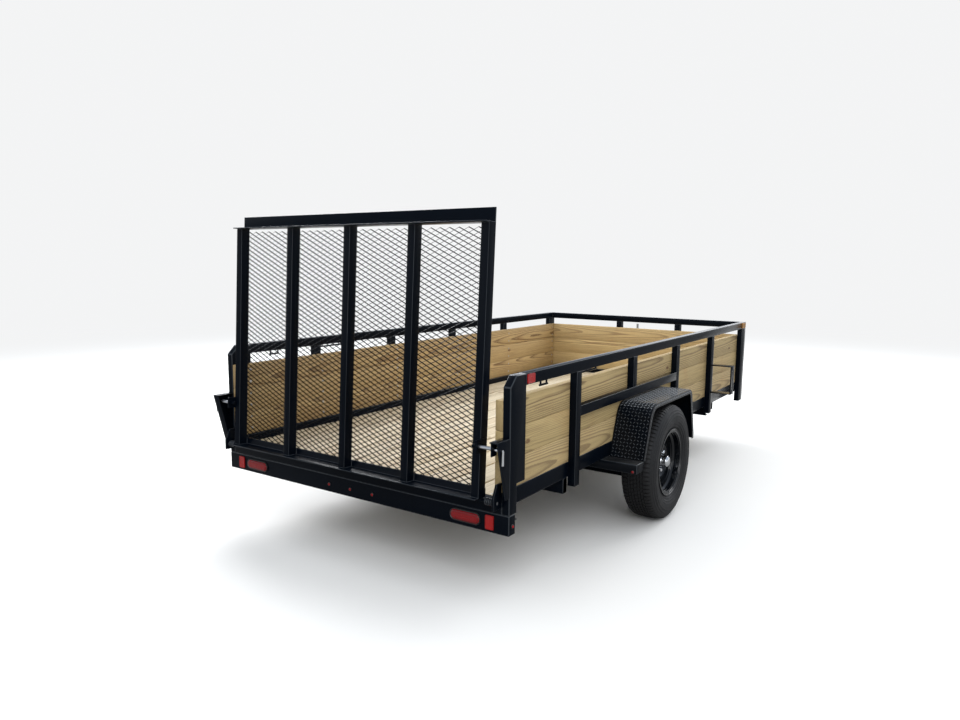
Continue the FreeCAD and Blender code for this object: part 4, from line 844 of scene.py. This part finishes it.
def shoulderRow(side):
    half = math.pi / wheel["pitches"] * wheel["rubberShare"]
    top = half * wheel["shoulderTaper"]
    rings = []
    for across, drop in wheel["shoulder"]:
        high = wheel["radius"] - drop
        low = max(high - wheel["grooveDeep"], wheel["radius"] - wheel["shoulderDeepest"])
        lowAcross = across if across < wheel["shoulderTurn"] else across - wheel["shoulderUndercut"]
        corners = ((lowAcross, low, -half), (across, high, -top), (across, high, top), (lowAcross, low, half))
        rings.append([spotAt(side * reach, radius, angle) for reach, radius, angle in corners])
    return ringOf(ringPiece("shoulderBlock", rings), wheel["pitches"])


def nutsPiece():
    spot = wheelPoint(0, -wheel["nutCircle"])
    shape = (wheel["nutPoints"], wheel["nutInward"])
    rings = [circle(spot + axisX * mm(reach), axisZ, axisY, radius, *shape) for reach, radius in nutRings]
    return ringOf(ringPiece("wheelNut", rings), wheel["nuts"])


def discPiece():
    # the CAD disc with its pierced vents, its edges rounded
    piece = mergedCopy("wheel_disc_right", "disc")
    bevelEdges(piece, mm(wheel["discEdge"]), angle=35)
    return piece


def valvePiece():
    spot = wheelPoint(*wheel["valve"])
    lean = Matrix.Rotation(math.radians(wheel["valveLean"]), 3, "Y")
    first, second, stem = lean @ axisX, lean @ axisY, lean @ axisZ
    rings = []
    for rise, radius in valveRings:
        rings.append(circle(spot + stem * mm(rise), first, second, radius, wheel["valvePoints"]))
    return ringPiece("valve", rings)


def makeWheels():
    tread = [treadRow(*row) for row in wheel["rows"]]
    tyre = joined("tyre", [tyrePiece(), shoulderRow(1), shoulderRow(-1)] + tread)
    rim = spunPiece("rim", rimSection, wheel["spinSteps"])
    disc = discPiece()
    hub = spunPiece("hubCap", hubSection, wheel["hubSteps"])
    parts = (
        (tyre, "tyre", tyreRubber, "tyre_rubber", 35),
        (rim, "wheel_rim", wheelPaint, "wheel_paint", 40),
        (disc, "wheel_disc", wheelPaint, "wheel_paint", 40),
        (hub, "hub", chromePlate, "chrome_trim", 40),
        (nutsPiece(), "wheel_nuts", chromePlate, "bright_steel", 25),
        (valvePiece(), None, gripRubber, "tyre_rubber", 35),
    )
    for piece, nodeStem, material, slotName, smooth in parts:
        name = nodeStem or "valve_stem"
        other = mirrored(piece, name + "_left_look")
        piece.name = name + "_right_look"
        for item, word in ((piece, "right"), (other, "left")):
            replaced = [nodeStem + "_" + word] if nodeStem else []
            dress(item, material, slotName, "wheel_assembly_" + word, *replaced, smooth=smooth)


makeWheels()
print("wheels are made")


# Fenders: folded tread plate with raised lugs

fender = {
    "rearSlant": 103.0,
    "frontSlant": 67.0,
    "rearBend": 105.0,
    "frontBend": 60.0,
    "frameBottom": 420.8,
    "pitch": 19.0,
    "edge": 8.0,
    "lugHalf": 8.5,
    "lugWide": 2.6,
    "lugTall": 2.2,
    "lipTall": 26.0,
    "plateEdge": 1.0,
    "bendSteps": 10,
    "topDepth": 22,  # how far down from its top the fender gets paler paint: painted light from above, with dust
    "topFacing": 0.7,
}


def bentPath(corners):
    # points at small steps along a path with rounded corners, each with its direction
    path = []
    for i in range(len(corners) - 1):
        here, there = Vector(corners[i][:2]), Vector(corners[i + 1][:2])
        way = (there - here).normalized()
        start = here + way * cutBack(corners, i)
        stop = there - way * cutBack(corners, i + 1)
        path += [(start, way), (stop, way)]
        if i + 2 < len(corners):
            after = (Vector(corners[i + 2][:2]) - there).normalized()
            turn = way.angle_signed(after)
            side = 1 if turn > 0 else -1
            centre = stop + Vector((way.y, -way.x)) * corners[i + 1][2] * side
            for k in range(1, fender["bendSteps"]):
                spin = Matrix.Rotation(-turn * k / fender["bendSteps"], 2)
                path.append((centre + spin @ (stop - centre), (spin @ way).normalized()))
    return path


def cutBack(corners, i):
    # how far a corner's bend reaches along its sides
    if not corners[i][2]:
        return 0
    here = Vector(corners[i][:2])
    before = (here - Vector(corners[i - 1][:2])).normalized()
    after = (Vector(corners[i + 1][:2]) - here).normalized()
    return corners[i][2] * math.tan(before.angle(after) / 2)


def alongPath(path, distance):
    for (here, way), following in zip(path, path[1:]):
        there = following[0]
        length = (there - here).length
        if distance <= length and length > 0:
            return here + (there - here) * distance / length, way
        distance -= length
    return path[-1]


def fenderPath(low, high):
    bottom = mm(fender["frameBottom"])
    corners = (
        (low.y, bottom, 0),
        (low.y + mm(fender["rearSlant"]), high.z, mm(fender["rearBend"])),
        (high.y - mm(fender["frontSlant"]), high.z, mm(fender["frontBend"])),
        (high.y, bottom, 0),
    )
    return bentPath(corners)


def paintLitDustyTop(piece, material, level, leastUp):
    # faces that lie on top get a paler, duller paint: painted light from above, and the dirt that settles
    # there
    piece.data.materials.append(material)
    for face in piece.data.polygons:
        if face.center.z > level and face.normal.z > leastUp:
            face.material_index = 1


def lugPlace(place, first, second, outward, number):
    # lugs lean one way and the other by turns
    lean = math.radians(45 if number % 2 else -45)
    across = first * math.cos(lean) + second * math.sin(lean)
    turn = Matrix((across, outward.cross(across), outward)).transposed().to_4x4()
    return Matrix.Translation(place) @ turn


def makeFenderLugs():
    low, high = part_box("fender_right")
    path = fenderPath(low, high)
    length = sum((b[0] - a[0]).length for a, b in zip(path, path[1:]))
    clearSelection()
    bpy.ops.mesh.primitive_ico_sphere_add(subdivisions=1, radius=1, location=(0, 0, 0))
    lug = bpy.context.active_object
    bpy.ops.object.mode_set(mode="EDIT")
    bpy.ops.transform.resize(value=[mm(fender[size]) for size in ("lugHalf", "lugWide", "lugTall")])
    bpy.ops.object.mode_set(mode="OBJECT")
    places = []
    pitch, edge = mm(fender["pitch"]), mm(fender["edge"])
    columns = int((high.x - low.x) / pitch)
    first = (low.x + high.x - (columns - 1) * pitch) / 2
    for row in range(int((length - 2 * edge) / pitch) + 1):
        spot, way = alongPath(path, edge + row * pitch)
        forward = Vector((0, *way))
        outward = axisX.cross(forward)
        for column in range(columns):
            place = (first + column * pitch, *spot)
            places.append(lugPlace(place, axisX, forward, outward, row + column))
        # the lip that hangs from the outer edge carries one row
        place = Vector((high.x, *spot)) - outward * mm(fender["lipTall"]) / 2
        places.append(lugPlace(place, forward, -outward, axisX, row))
    right = copies("fenderLugsRight", lug, places)
    left = mirrored(right, "fenderLugsLeft")
    top = high.z - mm(fender["topDepth"])
    for piece in (right, left):
        dress(piece, lugGlintPaint, "black_paint", "trailer", smooth=50)
        paintLitDustyTop(piece, litDustyTopLugPaint, top, -1)
    for nodeName in ("fender_right", "fender_left"):
        piece = mergedCopy(nodeName, nodeName + "_plate")
        bevelEdges(piece, mm(fender["plateEdge"]), angle=50)
        dress(piece, treadPaint, "black_paint", "trailer", nodeName, smooth=25)
        paintLitDustyTop(piece, litDustyTopTreadPaint, top, fender["topFacing"])


makeFenderLugs()
print("fenders are made")


# Lamps and reflectors on the bumper

lamp = {
    "middle": 689.0,
    "height": 358.0,
    "halfLong": 82.5,
    "halfTall": 28.5,
    "ringWide": 6.5,
    # each ring of points: how far in from the outline, and how far ahead of the bumper's rear face
    "grommet": ((0, 1), (0, -3), (1.5, -6), (4, -6.5), (6.5, -4), (6.5, 1)),
    "lens": ((0, 0), (0, -5), (1.5, -7.2), (6, -8.6), (14, -9)),
    "bulletRadius": 9.0,
    # each ring: how far out, and how far in from the collar's edge
    "collar": ((-1, 0), (2.5, 0), (3.5, 1), (3.5, 2.6), (-1, 2.6)),
    "bullet": ((0, 2.6), (4.5, 2.6), (6.6, 4), (7.8, 6.4)),
    "bulletPoints": 20,
    "rearMarkers": (144, 352),  # distance between them, height
    "sideMarker": (25.4, 352),  # ahead of the bumper's face, height
    "stepMarker": (22, 381),  # in from the fender's outer edge, height
    "reflectorHalf": 22.0,
    "reflectorThick": 5.0,
    "reflectorCorner": 7.0,
    "cornerPoints": 6,
    "ovalPoints": 48,
}


def ovalPiece(name, inset, levels):
    # rings with straight sides and round ends
    rings = []
    straight = lamp["halfLong"] - lamp["halfTall"]
    for inward, y in levels:
        end = lamp["halfTall"] - inset - inward
        spots = []
        for i in range(lamp["ovalPoints"]):
            angle = math.tau * (i + 0.5) / lamp["ovalPoints"]
            x = lamp["middle"] + math.copysign(straight, math.cos(angle)) + end * math.cos(angle)
            spots.append(Vector((mm(x), rearFace + mm(y), mm(lamp["height"] + end * math.sin(angle)))))
        rings.append(spots)
    return ringPiece(name, rings)


def bulletPiece(name, spot, out, levels):
    # a short collar or a domed lens, pointing out along one axis
    rings = []
    for reach, inward in levels:
        radius = lamp["bulletRadius"] - inward
        rings.append(circle(spot + out * mm(reach), axisZ.cross(out), axisZ, radius, lamp["bulletPoints"]))
    return ringPiece(name, rings)


def roundedRing(middle, out, halfLong, halfTall, reach):
    # points round a plate with rounded corners that faces out
    corner = lamp["reflectorCorner"]
    side = axisZ.cross(out)
    spots = []
    for quarter, signX, signZ in ((0, 1, 1), (1, -1, 1), (2, -1, -1), (3, 1, -1)):
        for i in range(lamp["cornerPoints"]):
            angle = math.radians(90) * (quarter + i / (lamp["cornerPoints"] - 1))
            across = signX * (halfLong - corner) + corner * math.cos(angle)
            up = signZ * (halfTall - corner) + corner * math.sin(angle)
            spots.append(middle + out * mm(reach) + side * mm(across) + axisZ * mm(up))
    return spots


def reflectorPlate(name, middle, out, halfLong, halfTall, thick):
    # a plate with a raised rim round its prisms
    levels = ((0, 0), (0, thick - 1.2), (0.5, thick - 0.3), (1.2, thick), (3.0, thick), (3.6, thick - 1.0))
    return ringPiece(name, [
        roundedRing(middle, out, halfLong - inset, halfTall - inset, reach) for inset, reach in levels])


def makeReflectors(nodeName, material, slotName, out):
    # both plates of a node, from the box of the pair
    low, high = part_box(nodeName)
    middle = (low + high) / 2
    size = (high - low) * 1000
    if out.y:
        halfLong, thick = lamp["reflectorHalf"], size.y
        middle.x = high.x - mm(halfLong)
        middle.y = high.y
    else:
        halfLong, thick = size.y / 2, lamp["reflectorThick"]
        middle.x = high.x - mm(thick)
    plate = reflectorPlate(nodeName + "_plates", middle, out, halfLong, size.z / 2, thick)
    pair = joined(nodeName + "_pair", [plate, mirrored(plate, nodeName + "_turned")])
    dress(pair, material, slotName, "trailer", nodeName, smooth=35)


def makeLamps():
    ring = ovalPiece("lampGrommet", 0, lamp["grommet"])
    lens = ovalPiece("tailLens", lamp["ringWide"], lamp["lens"])
    rings = [ring, mirrored(ring, "lampGrommetLeft")]
    lenses = [lens, mirrored(lens, "tailLensLeft")]
    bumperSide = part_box("rear_bumper")[1].x
    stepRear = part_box("fender_step")[0].y
    apart, rearHeight = lamp["rearMarkers"]
    ahead, sideHeight = lamp["sideMarker"]
    inward, stepHeight = lamp["stepMarker"]
    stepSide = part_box("fender_right")[1].x - mm(inward)
    spots = [(Vector((mm(apart) * i, rearFace, mm(rearHeight))), -axisY) for i in (-1, 0, 1)]
    for side in (-1, 1):
        spots.append((Vector((side * bumperSide, rearFace + mm(ahead), mm(sideHeight))), side * axisX))
        spots.append((Vector((side * stepSide, stepRear, mm(stepHeight))), -axisY))
    collars, bullets = [], []
    for spot, out in spots:
        collars.append(bulletPiece("markerCollar", spot, out, lamp["collar"]))
        bullets.append(bulletPiece("markerLens", spot, out, lamp["bullet"]))
    for name, pieces, material, *replaced in (
        ("lamp_grommets", rings, lampRim), ("tail_lenses", lenses, redLens, "tail_lamps"),
        ("marker_collars", collars, lampRim), ("marker_lenses", bullets, redLens, "marker_lamps"),
    ):
        dress(joined(name, pieces), material, "red_lens", "trailer", *replaced, smooth=40)
    makeReflectors("rear_reflectors", redReflex, "red_lens", -axisY)
    makeReflectors("side_reflectors_red", redReflex, "red_lens", axisX)
    makeReflectors("side_reflectors_amber", amberReflex, "amber_lens", axisX)


makeLamps()
print("lamps are made")


# Screws that hold the boards

screws = {
    "floorRadius": 5.0,
    "floorRise": 0.9,
    "fromEdge": 34.0,
    "floorRows": (70.0, 579.0, 1067.0, 1485.0, 1889.0, 2419.0, 2869.0, 3600.0),
    "planks": 11,
    "wallRadius": 7.0,
    "wallRise": 1.44,
    "wallRows": (90.0, 632.0, 1340.0, 2062.0, 2815.0, 3600.0),
    "wallBoards": 3,
    "points": 12,
}


def screwHead(name, radius, rise):
    # a low head with a square socket
    levels = ((1.0, -0.3), (1.0, rise * 0.4), (0.8, rise), (0.4, rise), (0.3, rise * 0.2))
    return ringPiece(name, [
        circle(axisZ * mm(level), axisX, axisY, radius * share, screws["points"]) for share, level in levels])


def makeScrews():
    places = []
    low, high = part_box("floor_planks")
    wide = (high.x - low.x) / screws["planks"]
    reach = wide / 2 - mm(screws["fromEdge"])
    for i in range(screws["planks"]):
        middle = low.x + wide * (i + 0.5)
        for row in screws["floorRows"]:
            for x in (middle - reach, middle + reach):
                places.append(Matrix.Translation((x, station(mm(row)), high.z)))
    head = screwHead("floorScrew", screws["floorRadius"], screws["floorRise"])
    dress(copies("floor_screws", head, places), zincPlate, "bright_steel", "trailer", smooth=40)
    places = []
    low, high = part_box("side_boards_right")
    boardTall = (high.z - low.z) / screws["wallBoards"]
    inside = Matrix.Rotation(math.radians(-90), 4, "Y")
    for row in screws["wallRows"]:
        for i in range(screws["wallBoards"]):
            for share in (0.25, 0.75):
                spot = (low.x, station(mm(row)), low.z + boardTall * (i + share))
                places.append(Matrix.Translation(spot) @ inside)
    head = screwHead("wallScrew", screws["wallRadius"], screws["wallRise"])
    right = copies("wall_screws", head, places)
    left = mirrored(right, "wall_screws_left")
    for piece in (right, left):
        dress(piece, zincPlate, "bright_steel", "trailer", smooth=40)


makeScrews()
print("screws are in")


# What keeps its CAD shape

# where the pins are bare: millimetres from the centre line
brightPins = {"gate_latch_pins": (808, 880), "gate_hinge_pins": (860, 880)}


def recoat(nodeName, material):
    # a CAD node whose shape is right keeps it and gets a better material
    mesh = nodes[nodeName].data
    mesh.materials.clear()
    mesh.materials.append(material)


def partlyBright(nodeName, near, far):
    # the faces whose middle lies between two distances from the centre line are bare steel
    recoat(nodeName, blackPaint)
    mesh = nodes[nodeName].data
    mesh.materials.append(brightSteel)
    for face in mesh.polygons:
        face.material_index = 1 if mm(near) < abs(face.center.x) < mm(far) else 0


for nodeName, material in (
    ("helper_springs", springGlintPaint), ("latch_handles", chromePlate), ("leaf_springs", blackPaint),
    ("coupler", blackPaint), ("coupler_latch", zincPlate),
    ("jack_bracket", zincPlate), ("jack_tube", zincPlate), ("jack_crank", zincPlate), ("jack_leg", zincPlate),
):
    recoat(nodeName, material)
for nodeName, (near, far) in brightPins.items():
    partlyBright(nodeName, near, far)
print("carried-over pieces are coated")


# Expanded mesh of the gate

gateMesh = {
    "diamondWide": 50.8,
    "diamondTall": 23.4,
    "strandWide": 4.8,
    "strandThick": 1.1,
    "strandTilt": 52,  # degrees; the strands stand on edge, so one set looks bolder from the side
    "strandOverlap": 1.5,
    "rowWithin": 1.0,  # of the sheet's lowest and highest points
    # how far the middle of a strand may be past the sheet's sides, its foot and its top
    "pastSides": -7.5,
    "pastFoot": 12.0,
    "pastTop": -0.5,
}


def strandBar(start, end, outward, upward):
    # a flat bar from one bond to the next, tilted about its own length
    tilt = math.radians(gateMesh["strandTilt"])
    along = (end - start).normalized()
    across = (upward - along * upward.dot(along)).normalized()
    face = (outward * math.cos(tilt) + across * math.sin(tilt)).normalized()
    edge = along.cross(face)
    clearSelection()
    bpy.ops.mesh.primitive_cube_add(size=1, location=(0, 0, 0))
    bar = bpy.context.active_object
    length = (end - start).length + mm(gateMesh["strandOverlap"])
    thick, wide = mm(gateMesh["strandThick"]), mm(gateMesh["strandWide"])
    for vert in bar.data.vertices:
        x, y, z = vert.co
        vert.co = (start + end) / 2 + along * x * length + face * y * thick + edge * z * wide
    return bar


def makeGateMesh():
    points = [nodes["gate_mesh"].matrix_world @ vert.co for vert in nodes["gate_mesh"].data.vertices]
    low, high = min(p.z for p in points), max(p.z for p in points)
    half = max(p.x for p in points)
    lowRow = [p.y for p in points if p.z < low + mm(gateMesh["rowWithin"])]
    highRow = [p.y for p in points if p.z > high - mm(gateMesh["rowWithin"])]
    lowY, highY = sum(lowRow) / len(lowRow), sum(highRow) / len(highRow)
    upward = Vector((0, highY - lowY, high - low)).normalized()
    outward = axisX.cross(upward)
    wide, tall = axisX * mm(gateMesh["diamondWide"]), upward * mm(gateMesh["diamondTall"])
    columns = int(half / wide.x) + 1
    rows = int((high - low) / tall.z) + 3
    corner = Vector((0, lowY, low)) - wide * columns - tall
    bars = []
    for first, second in (((0, 0), (1, 1)), ((1, 1), (2, 0)), ((0, 2), (1, 1)), ((1, 1), (2, 2))):
        ends = [corner + wide * (x / 2) + tall * (z / 2) for x, z in (first, second)]
        bars.append(strandBar(ends[0], ends[1], outward, upward))
    sheet = joined("gateExpandedMesh", bars)
    for count, step in ((columns * 2, wide), (rows, tall)):
        array = sheet.modifiers.new("array", "ARRAY")
        array.count = count
        array.use_relative_offset = False
        array.use_constant_offset = True
        array.constant_offset_displace = step
        bpy.ops.object.modifier_apply(modifier=array.name)
    # bars that would reach past the frame of the gate are left out
    shape = bmesh.new()
    shape.from_mesh(sheet.data)
    shape.verts.ensure_lookup_table()
    spare = []
    corners = 8  # of each bar
    for start in range(0, len(shape.verts), corners):
        bar = [shape.verts[start + i] for i in range(corners)]
        middle = sum((v.co for v in bar), Vector()) / corners
        beside = abs(middle.x) > half + mm(gateMesh["pastSides"])
        under = middle.z < low - mm(gateMesh["pastFoot"])
        if beside or under or middle.z > high + mm(gateMesh["pastTop"]):
            spare += bar
    bmesh.ops.delete(shape, geom=spare, context="VERTS")
    shape.to_mesh(sheet.data)
    shape.free()
    dress(sheet, meshPaint, "black_paint", "gate", "gate_mesh", smooth=0)


makeGateMesh()
print("gate mesh is made")


# Floor and studio light

studio = {
    "floorSize": 80,
    "floorSeen": (0.86, 0.86, 0.86),
    "floorBounce": 0.30,
    "backdrop": (0.90, 0.905, 0.91),
    "reflectedLow": (1.05, 1.08, 1.12),
    "reflectedHigh": (0.44, 0.50, 0.60),
    "stripEdge": (0.12, 0.34),
    "skyTone": (0.95, 0.98, 1.0),
    "fadeFrom": 4.5,
    "fadeTo": 13.0,
    "overhead": 1.25,
    "horizon": 0.32,
    # place, size and power of each soft light
    "lights": (
        ("key", (-5.0, 1.5, 6.0), 4.0, 520),
        ("rearFill", (4.5, -6.5, 4.0), 4.0, 150),
        ("frontTop", (2.0, 6.0, 6.0), 5.0, 260),
    ),
    "lightsAim": (0, 0, 0.6),
}


def paleFloor():
    # seen as a pale sheet that fades into the backdrop; what it throws back at the trailer is dimmer
    material, shader, vector = newMaterial("studioFloor")
    tree = material.node_tree
    path = put(tree, "ShaderNodeLightPath")
    seen = path.outputs["Is Camera Ray"]
    grain = noise(vector, 2.0, 2.0)
    tone = mixColours(grain, tint(studio["floorSeen"], 0.985), studio["floorSeen"])
    tone = mixColours(seen, (studio["floorBounce"],) * 3, tone)
    feedNode(shader, Base_Color=tone, Roughness=1.0, Specular_IOR_Level=0.0)
    distance = put(tree, "ShaderNodeVectorMath", operation="LENGTH")
    feed(distance.inputs[0], vector)
    fade = put(tree, "ShaderNodeMapRange", interpolation_type="SMOOTHSTEP")
    feedNode(fade, Value=distance.outputs["Value"], From_Min=studio["fadeFrom"], From_Max=studio["fadeTo"])
    far = put(tree, "ShaderNodeEmission")
    feedNode(far, Color=(*studio["backdrop"], 1))
    blend = put(tree, "ShaderNodeMixShader")
    feedNode(blend, Fac=times(fade.outputs["Result"], seen))
    feed(blend.inputs[1], shader.outputs["BSDF"])
    feed(blend.inputs[2], far.outputs["Emission"])
    feedNode(tree.nodes["Material Output"], Surface=blend.outputs["Shader"])
    return material


def makeWorld():
    # a bright ceiling over a dimmer horizon; the camera sees a plain backdrop and reflections nearly so
    world = bpy.data.worlds.new("studio")
    bpy.context.scene.world = world
    world.use_nodes = True
    tree = world.node_tree
    way = put(tree, "ShaderNodeTexCoord")
    path = put(tree, "ShaderNodeLightPath")
    height = split("XYZ", way.outputs["Generated"])[2]
    glow = spread(height, 0.0, 0.75, studio["horizon"], studio["overhead"])
    shade = put(tree, "ShaderNodeCombineColor")
    for socket, part in zip(shade.inputs, studio["skyTone"]):
        feed(socket, times(glow, part))
    # reflections find a bright strip above the horizon, which lights the tops of rails and bends
    aboveStrip = spread(height, *studio["stripEdge"])
    strip = mixColours(aboveStrip, studio["reflectedLow"], studio["reflectedHigh"])
    glossy = mixColours(path.outputs["Is Glossy Ray"], shade.outputs["Color"], strip)
    colour = mixColours(path.outputs["Is Camera Ray"], glossy, studio["backdrop"])
    feedNode(tree.nodes["Background"], Color=colour)


def makeStudio():
    clearSelection()
    bpy.ops.mesh.primitive_plane_add(size=studio["floorSize"], location=(0, 0, 0))
    floor = bpy.context.active_object
    floor.name = "studioFloor"
    floor.data.materials.append(paleFloor())
    makeWorld()
    for name, place, size, power in studio["lights"]:
        light = bpy.data.lights.new(name, "AREA")
        light.energy = power
        light.size = size
        softBox = bpy.data.objects.new(name, light)
        bpy.context.scene.collection.objects.link(softBox)
        softBox.location = place
        softBox.rotation_mode = "QUATERNION"
        aim = Vector(studio["lightsAim"]) - Vector(place)
        softBox.rotation_quaternion = aim.to_track_quat("-Z", "Y")


makeStudio()
bpy.context.scene.view_settings.view_transform = "Standard"
print("studio is lit")
